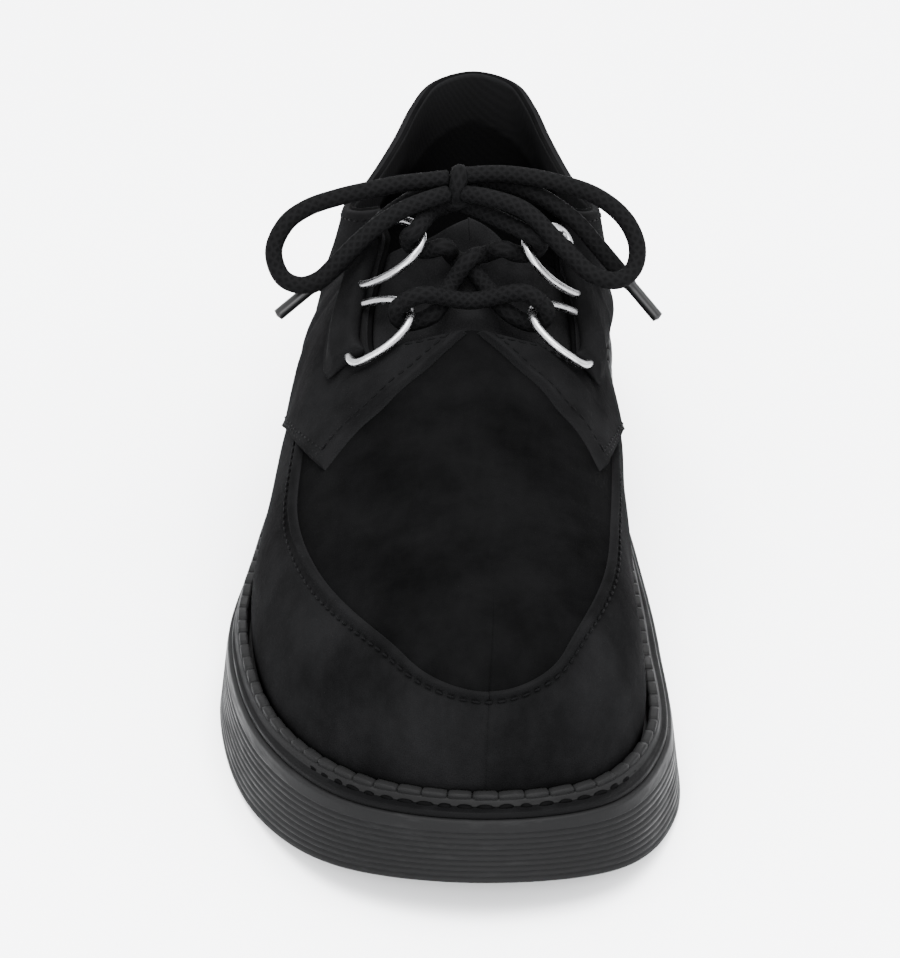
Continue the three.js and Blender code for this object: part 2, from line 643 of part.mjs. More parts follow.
// Ring: a bar inside the strap's fold, and a bow of wire that reaches over the gap
function ringFrame({ side, station, inset, slope }) {
  const lift = QUARTER_STEP + STRAP_SEAT + STRAP_FOLD / 2;
  const at = (shift) => layer(side, station + shift, facing(side, station + shift) - inset, lift);
  const along = at(0.15).sub(at(-0.15)).normalize();
  const flat = new THREE.Vector3(-side, 0, 0).addScaledVector(along, side * along.x).normalize();
  const up = along.clone().cross(flat).multiplyScalar(side).normalize();
  const turn = THREE.MathUtils.degToRad(slope);
  const inward = flat.clone().multiplyScalar(Math.cos(turn)).addScaledVector(up, Math.sin(turn));
  up.multiplyScalar(Math.cos(turn)).addScaledVector(flat, -Math.sin(turn));
  return { origin: at(0), along, inward, up };
}

function ringBody(ring, radius) {
  const frame = ringFrame(ring);
  const points = RING_SHAPE.map((row) => frame.origin.clone()
    .addScaledVector(frame.along, row.across * RING_SPAN)
    .addScaledVector(frame.inward, row.in * RING_REACH));
  const curve = new THREE.CatmullRomCurve3(points, true, "centripetal");
  return solid(new THREE.TubeGeometry(curve, 22, radius, 6, true));
}

// Strap: folded round the bars of its two rings, thin at its stitched edge
const STRAP_STATIONS = [THROAT + 0.02, 4.3, 4.5, 4.7, 4.87, 5];
const STRAP_ACROSS = [1, 0.7, 0.4, 0];

function strapInset(side, station) {
  const [front, back] = RINGS.filter((ring) => ring.side === side);
  const share = (station - front.station) / (back.station - front.station);
  return THREE.MathUtils.lerp(front.inset, back.inset, THREE.MathUtils.clamp(share, 0, 1)) - BAR_SEAT;
}

function strapBody(side) {
  const sheet = new Sheet();
  sheet.patch(side, STRAP_STATIONS.length - 1, STRAP_ACROSS.length - 1, (i, j) => {
    const station = STRAP_STATIONS[i];
    return [station, facing(side, station) - strapInset(side, station) - STRAP_ACROSS[j] * STRAP_WIDTH];
  });
  const thickness = (spot) => {
    const inset = facing(spot.side, spot.station) - spot.share - strapInset(spot.side, spot.station);
    const across = inset / STRAP_WIDTH;
    return THREE.MathUtils.lerp(STRAP_FOLD, STRAP_EDGE, THREE.MathUtils.smoothstep(across, 0.4, 1));
  };
  const seatHeight = QUARTER_STEP + STRAP_SEAT;
  let body = solid(sheet.thicken((spot) => seatHeight + thickness(spot), seatHeight));
  for (const ring of RINGS.filter((row) => row.side === side)) {
    body = body.subtract(ringBody(ring, WIRE / 2 + CLEARANCE + 0.05));
  }
  return body;
}

// Lace
function tube(points, width, steps) {
  const corners = [...Array(8).keys()].map((k) => {
    const angle = (k / 8) * 2 * Math.PI;
    return new THREE.Vector2(Math.cos(angle) * width / 2, Math.sin(angle) * width / 2);
  });
  const path = new THREE.CatmullRomCurve3(points, false, "centripetal");
  const section = new THREE.Shape(corners);
  return solid(new THREE.ExtrudeGeometry(section, { steps, extrudePath: path, bevelEnabled: false }));
}

// Round a ring's wire: 0 degrees is over it, 90 in the ring's hole and 180 under it; shift is toward the gap
function wrap(ring, degrees, shift = 0) {
  const frame = ringFrame(ring);
  const turn = THREE.MathUtils.degToRad(degrees);
  const radius = (WIRE + LACE) / 2 + CLEARANCE + 0.1;
  return frame.origin.clone()
    .addScaledVector(frame.inward, RING_REACH - radius * Math.sin(turn) + shift)
    .addScaledVector(frame.up, radius * Math.cos(turn));
}

function overTongue(side, station, share, lift) {
  return layer(side, station, share, LACE / 2 + CLEARANCE + 0.2 + lift - tongueDepth(side, station, share));
}

const KNOT = ridge(TONGUE_TOP).add(new THREE.Vector3(-0.03 * BALL_WIDTH, 0, LACE));
const KNOT_SIZE = new THREE.Vector3(1.15 * LACE, 1.05 * LACE, 1.4 * LACE);

function knotBody(grow) {
  const ball = new THREE.SphereGeometry(1, 10, 6);
  ball.scale(KNOT_SIZE.x + grow, KNOT_SIZE.y + grow, KNOT_SIZE.z + grow);
  ball.translate(KNOT.x, KNOT.y, KNOT.z);
  return solid(ball);
}

function bow(side, table) {
  return table.map((row) => new THREE.Vector3(
    KNOT.x + side * row.out * LACE, KNOT.y + row.back * LACE, KNOT.z + row.up * LACE));
}

const [lateralFront, lateralBack, medialFront, medialBack] = RINGS;
const ROUND = [0, 45, 90, 135, 180];

function laceBars() {
  const strand = (from, to, lift) => tube([
    ...ROUND.map((angle) => wrap(from, angle)),
    wrap(from, 180, LACE),
    overTongue(from.side, 4.47, 0.93, lift * 0.4),
    overTongue(from.side, 4.57, 1, lift),
    overTongue(to.side, 4.67, 0.93, lift * 0.4),
    wrap(to, 180, LACE),
    ...ROUND.map((angle) => wrap(to, angle)).reverse(),
    new THREE.Vector3(KNOT.x + to.side * 1.3 * LACE, KNOT.y - 0.7 * LACE, KNOT.z - 1.05 * LACE),
    new THREE.Vector3(KNOT.x + to.side * 0.4 * LACE, KNOT.y, KNOT.z - 1.05 * LACE),
  ], LACE, 26);
  const bar = tube([
    wrap(lateralFront, 0, -0.5), wrap(lateralFront, 0, LACE), overTongue(1, 4.32, 1, 0.75 * LACE),
    wrap(medialFront, 0, LACE), wrap(medialFront, 0, -0.5),
  ], LACE - 0.12, 6);
  return strand(medialFront, lateralBack, 0)
    .add(strand(lateralFront, medialBack, 0.9 * LACE))
    .add(bar)
    .subtract(knotBody(CLEARANCE));
}

function tipBody(side, table) {
  const points = bow(side, table);
  const end = points[points.length - 1];
  const way = end.clone().sub(points[points.length - 2]).normalize();
  const start = end.clone().addScaledVector(way, CLEARANCE);
  const stop = end.clone().addScaledVector(way, CLEARANCE + TIP_LENGTH);
  return tube([start, start.clone().add(stop).multiplyScalar(0.5), stop], TIP_WIDTH, 2);
}

const suede = new THREE.MeshStandardMaterial({ color: 0x222224, roughness: 0.95, metalness: 0 });
const rubber = new THREE.MeshStandardMaterial({ color: 0x3c3c3e, roughness: 0.7, metalness: 0 });
const steel = new THREE.MeshStandardMaterial({ color: 0xc8c8c8, roughness: 0.25, metalness: 1 });
const cord = new THREE.MeshStandardMaterial({ color: 0x1c1c1e, roughness: 0.9, metalness: 0 });
const lining = new THREE.MeshStandardMaterial({ color: 0x2c2c2e, roughness: 0.9, metalness: 0 });

const shoe = new THREE.Group();
function piece(name, body, material, parent = shoe) {
  const item = new THREE.Mesh(geometryOf(body), material);
  item.name = name;
  parent.add(item);
}

piece("outsole", outsole, rubber);
piece("welt", weltBody(), rubber);
piece("insole", insoleBody(), lining);
piece("upper", upperBody(), suede);
piece("tongue", tongueBody(), suede);
piece("ring_strap_lateral", strapBody(-1), suede);
piece("ring_strap_medial", strapBody(1), suede);
for (const ring of RINGS) piece(ring.name, ringBody(ring, WIRE / 2), steel);
piece("lace_bars", laceBars(), cord);
const cords = new THREE.Group();
shoe.add(cords);

// The origin is on the floor under the middle of the sole
const extent = new THREE.Box3().setFromObject(shoe);
shoe.position.set(-(extent.min.x + extent.max.x) / 2, -(extent.min.y + extent.max.y) / 2, 0);

const knotHole = knotBody(CLEARANCE);
piece("lace_knot", knotBody(0), cord, cords);
piece("lace_loop_lateral", tube(bow(-1, LATERAL_LOOP), LACE, 17).subtract(knotHole), cord, cords);
piece("lace_loop_medial", tube(bow(1, MEDIAL_LOOP), LACE, 17).subtract(knotHole), cord, cords);
piece("lace_end_lateral", tube(bow(-1, LATERAL_END), LACE, 6).subtract(knotHole), cord, cords);
piece("lace_end_medial", tube(bow(1, MEDIAL_END), LACE, 6).subtract(knotHole), cord, cords);
piece("lace_tip_lateral", tipBody(-1, LATERAL_END), cord, cords);
piece("lace_tip_medial", tipBody(1, MEDIAL_END), cord, cords);

export default shoe;
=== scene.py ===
"""A black suede derby shoe for the right foot, with a round lace run through steel D-rings."""

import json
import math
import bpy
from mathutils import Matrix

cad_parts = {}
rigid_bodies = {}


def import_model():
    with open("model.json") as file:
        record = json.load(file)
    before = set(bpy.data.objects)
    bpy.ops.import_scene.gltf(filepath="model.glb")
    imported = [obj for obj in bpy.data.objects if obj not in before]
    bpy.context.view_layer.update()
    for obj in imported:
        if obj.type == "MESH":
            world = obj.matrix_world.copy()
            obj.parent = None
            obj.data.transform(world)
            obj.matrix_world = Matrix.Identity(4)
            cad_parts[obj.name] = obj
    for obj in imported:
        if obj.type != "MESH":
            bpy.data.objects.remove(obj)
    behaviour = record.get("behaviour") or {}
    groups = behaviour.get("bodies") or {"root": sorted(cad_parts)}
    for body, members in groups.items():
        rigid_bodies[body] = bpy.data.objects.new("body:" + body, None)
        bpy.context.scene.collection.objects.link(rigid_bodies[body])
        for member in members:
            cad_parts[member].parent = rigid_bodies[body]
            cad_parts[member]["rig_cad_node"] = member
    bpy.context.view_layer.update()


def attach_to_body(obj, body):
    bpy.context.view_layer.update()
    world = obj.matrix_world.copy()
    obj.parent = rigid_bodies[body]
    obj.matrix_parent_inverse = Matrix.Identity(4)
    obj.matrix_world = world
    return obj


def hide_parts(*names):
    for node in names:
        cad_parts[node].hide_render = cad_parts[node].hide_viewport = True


bl_info = {
    "name": "Suede derby shoe",
    "version": (1, 0, 0),
    "blender": (4, 5, 0),
    "location": "3D View > Sidebar > Derby",
    "description": "Builds the suede upper, ribbed sole, welt, rings and lace of one derby shoe",
    "category": "Object",
}

import bmesh
import bpy
import numpy as np
from mathutils import Vector

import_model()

# Sizes in millimetres: X points to the inner side of the foot, Y from the toe to the heel, Z up.
SOLE_LENGTH = 292.0
BALL_WIDTH = 112.0
TOE_SPRING = 9.5
FORE_THICKNESS = 20.0
TOE_THINNING = 4.0
HEEL_THICKNESS = 32.0
SIDE_FLARE = 2.5
EDGE_ROUND = 0.8
LIP_SHARE = 0.16
RIB_END = 0.95
GROOVE_WIDTH = 0.3
GROOVE_RINGS = 9
SOLE_STATIONS = 150
ARCH_START = 0.39
ARCH_HEIGHT = 9.5
HEEL_BREAST = 0.726
TREAD_DEPTH = 3.0
TREAD_WIDTH = 4.0
TREAD_BORDER = 9.0
TREADS = (0.2, 0.245, 0.29, 0.335, 0.38, 0.78, 0.825, 0.87, 0.915)

CLEARANCE = 0.3
LEDGE_WIDTH = 10.0
WELT_SETBACK = 1.2
WELT_THICKNESS = 1.6
BEAD_HEIGHT = 3.1
BEAD_WIDTH = 3.2
WELT_GAP = 0.75
INSOLE_THICKNESS = 3.0

INSTEP_RISE = 83.0
BACK_RISE = 60.0
WALL = 1.2
QUARTER_ROLL = 0.55
MUDGUARD_STEP = 1.0
QUARTER_STEP = 1.8
UNDERLAP = 0.4
EDGE_RADIUS = 1.1
THROAT = 4.1
TONGUE_TOP = 4.9
FACING_TOP = 5.25
HEEL_END = 8.0
APRON_END = 3.95
LOW_SHARE = 0.005
GUARD_WIDTH = 60.0
QUARTER_HEIGHT = 75.0
QUARTER_LENGTH = 90.0
STRIP_WIDTH = 12.0

TONGUE_THICKNESS = 2.6
TONGUE_START = 3.8
TONGUE_END = 5.1
TONGUE_ROUNDING = 0.08
TONGUE_TUCK = 0.12
TONGUE_WIDTH = 30.0
TONGUE_CROWN = 3.4
TONGUE_GAP = 0.55
TONGUE_SINK = 6.0
TONGUE_RISE = 5.0
TONGUE_SOFTENING = 26
STRAP_SEAT = 0.95
STRAP_FOLD = 4.2
STRAP_EDGE = 1.3
STRAP_WIDTH = 0.14
STRAP_LENGTH = 60.0
STRAP_START = THROAT + 0.02
STRAP_END = 5.0
STRAP_PADDING = 0.4
BAR_SEAT = 0.035
WIRE = 2.2
RING_SPAN = 20.0
RING_REACH = 18.0
LACE = 4.5
TIP_WIDTH = 3.1
TIP_LENGTH = 12.0
TUBE_SIDES = 18

# From the middle of the toe's floor line to the origin under the middle of the sole
ORIGIN = np.array([6.191, -146.0, 0.0])

STATIONS = {
    "station": (0, 1, 2, 3, 4, 5, 6, 7, 8),
    "along": (0, 0.031, 0.13, 0.288, 0.445, 0.61, 0.774, 0.938, 1),
    "lateral": (-0.03, 0.245, 0.437, 0.538, 0.5, 0.43, 0.37, 0.275, 0),
    "medial": (0.03, 0.29, 0.415, 0.415, 0.38, 0.325, 0.345, 0.275, 0),
    "lateral_ledge": (1, 0.95, 0.8, 0.72, 0.6, 0.6, 0.62, 0.62, 0.62),
    "medial_ledge": (1, 0.95, 0.8, 0.8, 0.75, 0.65, 0.62, 0.62, 0.62),
    "turn": (0, 48, 80, 90, 90, 90, 92, 130, 180),
    "rise": (0.69, 0.68, 0.64, 0.6, 0.52, 0.46, 0.4, 0.36, 0.36),
    "lateral_bulge": (0.027, 0.027, 0.027, 0.022, 0.055, 0.1, 0.05, 0.035, 0.04),
    "medial_bulge": (0.027, 0.027, 0.027, 0.025, 0.075, 0.08, 0.04, 0.035, 0.04),
}
RIDGE = {
    "station": (0, 1, 2, 3, 4, 4.9),
    "along": (0.144, 0.161, 0.219, 0.329, 0.449, 0.572),
    "aside": (0.045, 0.045, 0.036, 0.018, 0, -0.009),
    "height": (0.482, 0.492, 0.524, 0.598, 0.722, 0.985),
    "reach": (0.196, 0.214, 0.26, 0.29, 0.27, 0.23),
    "drop": (0, 0, 0.01, 0.03, 0.06, 0.1),
}
COLLAR = {
    "station": (5.25, 5.4, 5.65, 6, 6.5, 7, 7.5, 8),
    "along": (0.606, 0.622, 0.662, 0.735, 0.825, 0.891, 0.939, 0.96),
    "lateral": (0.214, 0.266, 0.29, 0.243, 0.183, 0.143, 0.095, 0),
    "medial": (0.214, 0.26, 0.28, 0.232, 0.178, 0.141, 0.095, 0),
    "height": (1.075, 1.03, 0.965, 0.92, 0.935, 0.965, 0.988, 1),
    "flare": (0.035, 0.033, 0.03, 0.03, 0.03, 0.03, 0.03, 0.03),
    "drop": (0.34, 0.34, 0.34, 0.34, 0.34, 0.34, 0.33, 0.32),
}
FACING = {
    "station": (4.1, 4.25, 4.5, 4.75, 5.0, 5.25),
    "gap": (0.214, 0.23, 0.23, 0.212, 0.197, 0.214),
}
APRON = {
    "station": (0, 0.6, 1.2, 1.85, 2.4, 3, 3.5, 4),
    "lateral": (0.465, 0.5, 0.55, 0.525, 0.475, 0.433, 0.44, 0.44),
    "medial": (0.465, 0.52, 0.6, 0.6, 0.555, 0.49, 0.45, 0.4),
}
WING = {
    "low": (3.3, 3.7, 4.15, 4.6, 5, 5.25),
    "low_share": (0.55, 0.46, 0.35, 0.18, 0.005, 0.005),
    "top": (4.08, 4.08, 4.12, 4.5, 4.85, 5.25),
    "top_share": (0.985, 0.86, 0.74, 1, 1, 1),
}

# The rings: side, station of the middle, inset of the bar from the facing's edge, slope in degrees
RINGS = {
    "ring_lateral_front": (-1, 4.275, 0.045, 23),
    "ring_lateral_back": (-1, 4.8, 0.02, 32),
    "ring_medial_front": (1, 4.31, 0.015, 30),
    "ring_medial_back": (1, 4.82, -0.02, 44),
}
RING_SHAPE = (
    (-0.4, 0), (-0.14, 0), (0.14, 0), (0.4, 0), (0.5, 0.09), (0.5, 0.3), (0.42, 0.62), (0.25, 0.88),
    (0, 1), (-0.25, 0.88), (-0.42, 0.62), (-0.5, 0.3), (-0.5, 0.09),
)

# The bow, in widths of the lace from the middle of the knot: out to its side, back and up
BOW = {
    "lace_loop_lateral": (-1, (
        (0.45, 0, 0.6), (1.6, 0, 0.45), (3, -0.15, 0.35), (4.8, -0.45, 0.1), (6.6, -0.8, -0.2),
        (8.4, -1.2, -0.7), (9.6, -1.8, -1.4), (10.3, -2.5, -2.8), (9.8, -3.2, -4.1), (8.8, -3.6, -4.4),
        (7.7, -3.7, -4), (6.6, -3.4, -3), (4.8, -2.7, -1.45), (3, -2, -0.45), (1.6, -1.5, -0.05),
        (0.5, -0.8, 0))),
    "lace_loop_medial": (1, (
        (0.45, 0, 0.75), (1.6, 0.05, 0.85), (3.1, 0, 0.85), (5.6, -0.45, 0.6), (8, -1.1, 0),
        (9.6, -1.9, -1.1), (10.25, -2.7, -2.4), (10, -3.5, -3.4), (9.1, -4.1, -3.8), (7.7, -4.2, -3.4),
        (6.2, -3.6, -2.2), (3.9, -2.4, -0.3), (1.8, -1.6, 0.15), (0.5, -0.8, 0))),
    "lace_end_lateral": (-1, (
        (0.3, 0.7, -0.3), (1.9, 0.75, -0.7), (3.9, -0.55, -1.5), (5.8, -1.8, -3), (7, -2.35, -4.05),
        (8, -2.6, -4.85))),
    "lace_end_medial": (1, (
        (0.3, 0.75, -0.2), (2.1, 0.95, -0.05), (4.5, -0.1, -0.3), (6.65, -1.1, -1.4), (8, -1.55, -2.8),
        (9.75, -2.2, -4.75))),
}

# The lace's turn behind the knot, in widths of the lace to the inner side, back and up
THROW = ((-1.05, 0.2, -0.75), (-0.5, -0.35, -0.7), (0.1, -0.62, -0.6), (0.65, -0.45, -0.35), (1, 0.15, -0.1))

# The spots that the camera turns about, that the lights point to and that the camera looks at, in metres
FOCUS = (0.0062, 0, 0.05)
LIT = (0, 0, 0.05)
AIM = (0.0005, -0.007, 0.0368)

# Each light's place and size in metres, and its share of the strength of the light above
LIGHTS = (
    ("key", (0.1, -0.2, 1.7), 1.5, 1.0),
    ("front", (-0.1, -1.9, 0.9), 1.2, 0.5),
    ("left", (-1.5, -0.4, 0.9), 0.9, 0.025),
    ("right", (1.5, -0.2, 0.9), 0.9, 0.08),
    ("back", (0.1, 1.5, 1.1), 0.8, 0.15),
)

# Creases in the suede: side (0 for both), from and to as (station, share), width and depth in mm.
# A negative depth is a soft ridge.
CREASES = (
    (0, (3.0, 1.0), (3.25, 0.6), 5.0, 0.5),
    (0, (3.45, 1.0), (3.65, 0.7), 4.0, 0.6),
    (0, (3.82, 1.0), (3.9, 0.8), 3.0, 0.4),
    (-1, (2.2, 0.85), (2.7, 0.66), 9.0, 0.45),
    (1, (2.5, 0.9), (2.8, 0.62), 8.0, 0.4),
    (-1, (0.9, 0.86), (0.3, 0.8), 10.0, -0.5),
    (1, (1.6, 0.7), (0.9, 0.66), 9.0, 0.3),
    (-1, (4.5, 0.3), (5.2, 0.62), 7.0, 0.7),
    (1, (4.6, 0.26), (5.1, 0.6), 7.0, 0.6),
    (-1, (4.2, 0.46), (4.8, 0.6), 5.0, -0.5),
    (1, (4.3, 0.4), (4.7, 0.62), 5.0, -0.5),
    (1, (4.3, 0.3), (5.4, 0.42), 13.0, -1.5),
    (-1, (5.3, 0.4), (6.2, 0.7), 8.0, 0.8),
    (1, (5.4, 0.5), (6.3, 0.74), 8.0, 0.7),
    (0, (5.7, 0.25), (6.6, 0.5), 7.0, -0.5),
    (-1, (6.5, 0.8), (7.3, 0.55), 7.0, 0.5),
    (1, (6.3, 0.86), (7.2, 0.6), 7.0, 0.4),
    (-1, (3.7, 0.62), (4.15, 0.56), 3.5, 0.5),
    (-1, (3.72, 0.74), (4.02, 0.95), 2.6, 0.5),
    (-1, (3.9, 0.68), (4.3, 0.6), 3.6, -0.6),
    (1, (3.75, 0.7), (4.08, 0.92), 2.8, 0.5),
    (-1, (4.9, 0.2), (5.6, 0.36), 6.0, 0.6),
    (1, (5.6, 0.3), (6.4, 0.2), 6.0, 0.5),
    (1, (3.6, 0.58), (4.1, 0.54), 3.5, 0.5),
    (-1, (1.6, 0.2), (2.6, 0.28), 9.0, 0.4),
    (1, (1.9, 0.18), (2.9, 0.3), 9.0, 0.4),
    (-1, (0.5, 0.26), (1.1, 0.3), 9.0, -0.3),
)
STATION_LENGTH = 36.0
SIDE_HEIGHT = 90.0


def spread(*values):
    """The values as arrays of numbers of one shape."""
    return (np.asarray(value, float) for value in np.broadcast_arrays(*values))


def unit(vectors):
    return vectors / np.linalg.norm(vectors, axis=-1, keepdims=True)


def column(table, name, at, flat_start=False, flat_end=False):
    """A smooth curve through one column of a table."""
    x = np.array(table["station"], float)
    y = np.array(table[name], float)
    slope = np.empty_like(y)
    slope[1:-1] = (y[2:] - y[:-2]) / (x[2:] - x[:-2])
    slope[0] = 0 if flat_start else (y[1] - y[0]) / (x[1] - x[0])
    slope[-1] = 0 if flat_end else (y[-1] - y[-2]) / (x[-1] - x[-2])
    at = np.clip(at, x[0], x[-1])
    i = np.clip(np.searchsorted(x, at) - 1, 0, len(x) - 2)
    span = x[i + 1] - x[i]
    t = (at - x[i]) / span
    t2, t3 = t * t, t * t * t
    return (
        (2 * t3 - 3 * t2 + 1) * y[i] + (t3 - 2 * t2 + t) * span * slope[i]
        + (3 * t2 - 2 * t3) * y[i + 1] + (t3 - t2) * span * slope[i + 1]
    )


def sided(table, name, side, at, *flat):
    """The lateral or the medial column, by the side of each spot."""
    names = ("lateral_" + name, "medial_" + name) if name else ("lateral", "medial")
    return np.where(side < 0, column(table, names[0], at, *flat), column(table, names[1], at, *flat))


def smoothstep(x, low, high):
    t = np.clip((x - low) / (high - low), 0, 1)
    return t * t * (3 - 2 * t)


def nose(away, width):
    """A round end: from 0 at the end to 1 at some width from it."""
    return np.sqrt(np.clip(1 - (1 - np.clip(away / width, 0, 1)) ** 2, 0, 1))


def catmull(points, at, closed):
    """A centripetal curve through points, at shares of its own count of spans."""
    points = np.asarray(points, float)
    count = len(points)
    at = np.asarray(at, float)
    if closed:
        at = np.mod(at, 1) * count
        i = np.floor(at).astype(int) % count
        four = [points[(i + k) % count] for k in (-1, 0, 1, 2)]
    else:
        first = 2 * points[0] - points[1]
        last = 2 * points[-1] - points[-2]
        padded = np.vstack([first, points, last])
        at = np.clip(at, 0, 1) * (count - 1)
        i = np.minimum(np.floor(at).astype(int), count - 2)
        four = [padded[i + k] for k in range(4)]
    t = (at - i)[..., None]
    gaps = [np.maximum(np.linalg.norm(b - a, axis=-1, keepdims=True), 1e-6) ** 0.5
            for a, b in zip(four, four[1:])]
    a, b, c, d = four
    start = ((b - a) / gaps[0] - (c - a) / (gaps[0] + gaps[1]) + (c - b) / gaps[1]) * gaps[1]
    end = ((c - b) / gaps[1] - (d - b) / (gaps[1] + gaps[2]) + (d - c) / gaps[2]) * gaps[1]
    return (
        b + start * t + (3 * (c - b) - 2 * start - end) * t * t
        + (2 * (b - c) + start + end) * t ** 3
    )


OUTLINE = np.array(
    [(-w * BALL_WIDTH, y * SOLE_LENGTH) for w, y in zip(STATIONS["lateral"], STATIONS["along"])]
    + [(w * BALL_WIDTH, y * SOLE_LENGTH)
       for w, y in list(zip(STATIONS["medial"], STATIONS["along"]))[7:0:-1]])


def sole_edge(side, station, inset=0.0):
    """The sole's outline in plan, set in by some distance."""
    side, station = spread(side, station)
    loop = np.where(side < 0, station, 2 * HEEL_END - station) / (2 * HEEL_END)
    point = catmull(OUTLINE, loop, True)
    along = unit(catmull(OUTLINE, loop + 0.0006, True) - catmull(OUTLINE, loop - 0.0006, True))
    x = point[..., 0] + along[..., 1] * inset
    y = point[..., 1] - along[..., 0] * inset
    return np.stack([x, y, np.zeros_like(x)], axis=-1)


def toe_lift(y):
    return np.maximum(0, 1 - y / SOLE_LENGTH / 0.212) ** 2


def sole_bottom(y):
    return TOE_SPRING * toe_lift(y)


def sole_top(y):
    heel = smoothstep(y / SOLE_LENGTH, 0.4, 0.82)
    return (sole_bottom(y) + FORE_THICKNESS - TOE_THINNING * toe_lift(y)
            + (HEEL_THICKNESS - FORE_THICKNESS) * heel)


def seat(side, station, inset, lift=0.0):
    point = sole_edge(side, station, inset)
    point[..., 2] = sole_top(point[..., 1]) + CLEARANCE + lift
    return point


def ledge_width(side, station):
    return LEDGE_WIDTH * sided(STATIONS, "ledge", side, station, True, True)


def feather(side, station):
    return seat(side, station, ledge_width(side, station))


def ridge(station):
    return np.stack([
        column(RIDGE, "aside", station, True) * BALL_WIDTH,
        column(RIDGE, "along", station, True) * SOLE_LENGTH,
        FORE_THICKNESS + column(RIDGE, "height", station, True) * INSTEP_RISE], axis=-1)


def collar(side, station):
    return np.stack([
        side * sided(COLLAR, "", side, station) * BALL_WIDTH,
        column(COLLAR, "along", station, False, True) * SOLE_LENGTH,
        HEEL_THICKNESS + column(COLLAR, "height", station, False, True) * BACK_RISE], axis=-1)


def top_edge(side, station):
    start = ridge(np.full_like(station, TONGUE_TOP))
    end = collar(side, np.full_like(station, FACING_TOP))
    middle = (start + end) / 2 + np.array([0, 0, 3.0])
    t = np.clip((station - TONGUE_TOP) / (FACING_TOP - TONGUE_TOP), 0, 1)[..., None]
    bridge = start * (1 - t) ** 2 + middle * 2 * t * (1 - t) + end * t * t
    low = (station <= TONGUE_TOP)[..., None]
    high = (station >= FACING_TOP)[..., None]
    return np.where(low, ridge(station), np.where(high, collar(side, station), bridge))


def surface(side, station, share):
    """The upper's form: share goes up from the sole to the centre line or the collar."""
    side, station, share = spread(side, station, share)
    foot = feather(side, station)
    top = top_edge(side, station)
    turn = np.radians(column(STATIONS, "turn", station))
    out = np.stack([side * np.sin(turn), -np.cos(turn), np.zeros_like(turn)], axis=-1)
    height = top[..., 2] - foot[..., 2]
    low = foot + out * (sided(STATIONS, "bulge", side, station) * BALL_WIDTH)[..., None]
    low[..., 2] += column(STATIONS, "rise", station) * height
    opened = smoothstep(station, TONGUE_TOP - 0.1, FACING_TOP + 0.15)
    reach, drop = (
        column(RIDGE, over, station, True) * (1 - opened) + column(COLLAR, rim, station) * opened
        for over, rim in (("reach", "flare"), ("drop", "drop")))
    high = top + out * (reach * BALL_WIDTH)[..., None]
    high[..., 2] -= drop * height
    t = share[..., None]
    return foot * (1 - t) ** 3 + low * 3 * t * (1 - t) ** 2 + high * 3 * t * t * (1 - t) + top * t ** 3


def carried(side, station, share):
    """The same surface carried on past its centre lines."""
    side, station, share = spread(side, station, share)
    front = station < 0
    back = station > HEEL_END
    side = np.where(front | back, -side, side)
    station = np.where(front, -station, np.where(back, 2 * HEEL_END - station, station))
    over = (share > 1) & (station <= TONGUE_TOP)
    side = np.where(over, -side, side)
    share = np.clip(np.where(over, 2 - share, share), 0, 1)
    return surface(side, station, share)


def outward(side, station, share):
    step = 0.02
    along = carried(side, station + step, share) - carried(side, station - step, share)
    up = carried(side, station, share + step) - carried(side, station, share - step)
    normal = np.cross(along, up) * np.asarray(side, float)[..., None]
    size = np.linalg.norm(normal, axis=-1, keepdims=True)
    return np.where(size > 1e-4, normal / np.maximum(size, 1e-9), np.array([0, 0, 1.0]))


def crease(side, station, share):
    """How far the suede stands proud of the last at a spot, in millimetres."""
    x = station * STATION_LENGTH
    y = share * SIDE_HEIGHT
    middle = (smoothstep(1 - share, 0, 0.12) * smoothstep(station, 0, 0.5)
              * smoothstep(HEEL_END - station, 0, 0.5))
    total = np.zeros_like(x)
    for one, start, end, width, depth in CREASES:
        a = np.array([start[0] * STATION_LENGTH, start[1] * SIDE_HEIGHT])
        b = np.array([end[0] * STATION_LENGTH, end[1] * SIDE_HEIGHT])
        way = b - a
        t = ((x - a[0]) * way[0] + (y - a[1]) * way[1]) / way.dot(way)
        held = np.clip(t, 0, 1)
        away = np.hypot(x - a[0] - held * way[0], y - a[1] - held * way[1]) / width
        here = np.where(side == one, middle, 0) if one else 1
        total -= here * depth * (1 - 0.6 * away ** 2) * np.exp(-away ** 2)
    rings = (smoothstep(station, APRON_END, 4.15) * smoothstep(5.3 - station, 0, 0.2)
             * smoothstep(share, 0.6, 0.75))
    return total * smoothstep(share, 0.02, 0.15) * (1 - rings)


def layer(side, station, share, offset):
    """A point of the upper's form, lifted off it."""
    side, station, share, offset = spread(side, station, share, offset)
    point = surface(side, station, share) + outward(side, station, share) * offset[..., None]
    foot = feather(side, station)[..., 2]
    low = np.where(share == 0, foot, np.maximum(point[..., 2], foot))
    point[..., 2] = np.where(share < 0.05, low, point[..., 2])
    return point


def worn_layer(side, station, share, offset):
    """The same with the creases of a worn shoe, which move every panel alike."""
    side, station, share, offset = spread(side, station, share, offset)
    return layer(side, station, share, offset + crease(side, station, share))


def facing(side, station):
    """The share at which the facing's edge runs."""
    side, station = spread(side, station)
    gap = column(FACING, "gap", station) * BALL_WIDTH
    low = np.full(station.shape, 0.3)
    high = np.ones(station.shape)
    for _ in range(24):
        middle = (low + high) / 2
        outside = side * surface(side, station, middle)[..., 0] > gap
        low = np.where(outside, middle, low)
        high = np.where(outside, high, middle)
    return np.where(station >= FACING_TOP, 1.0, high)


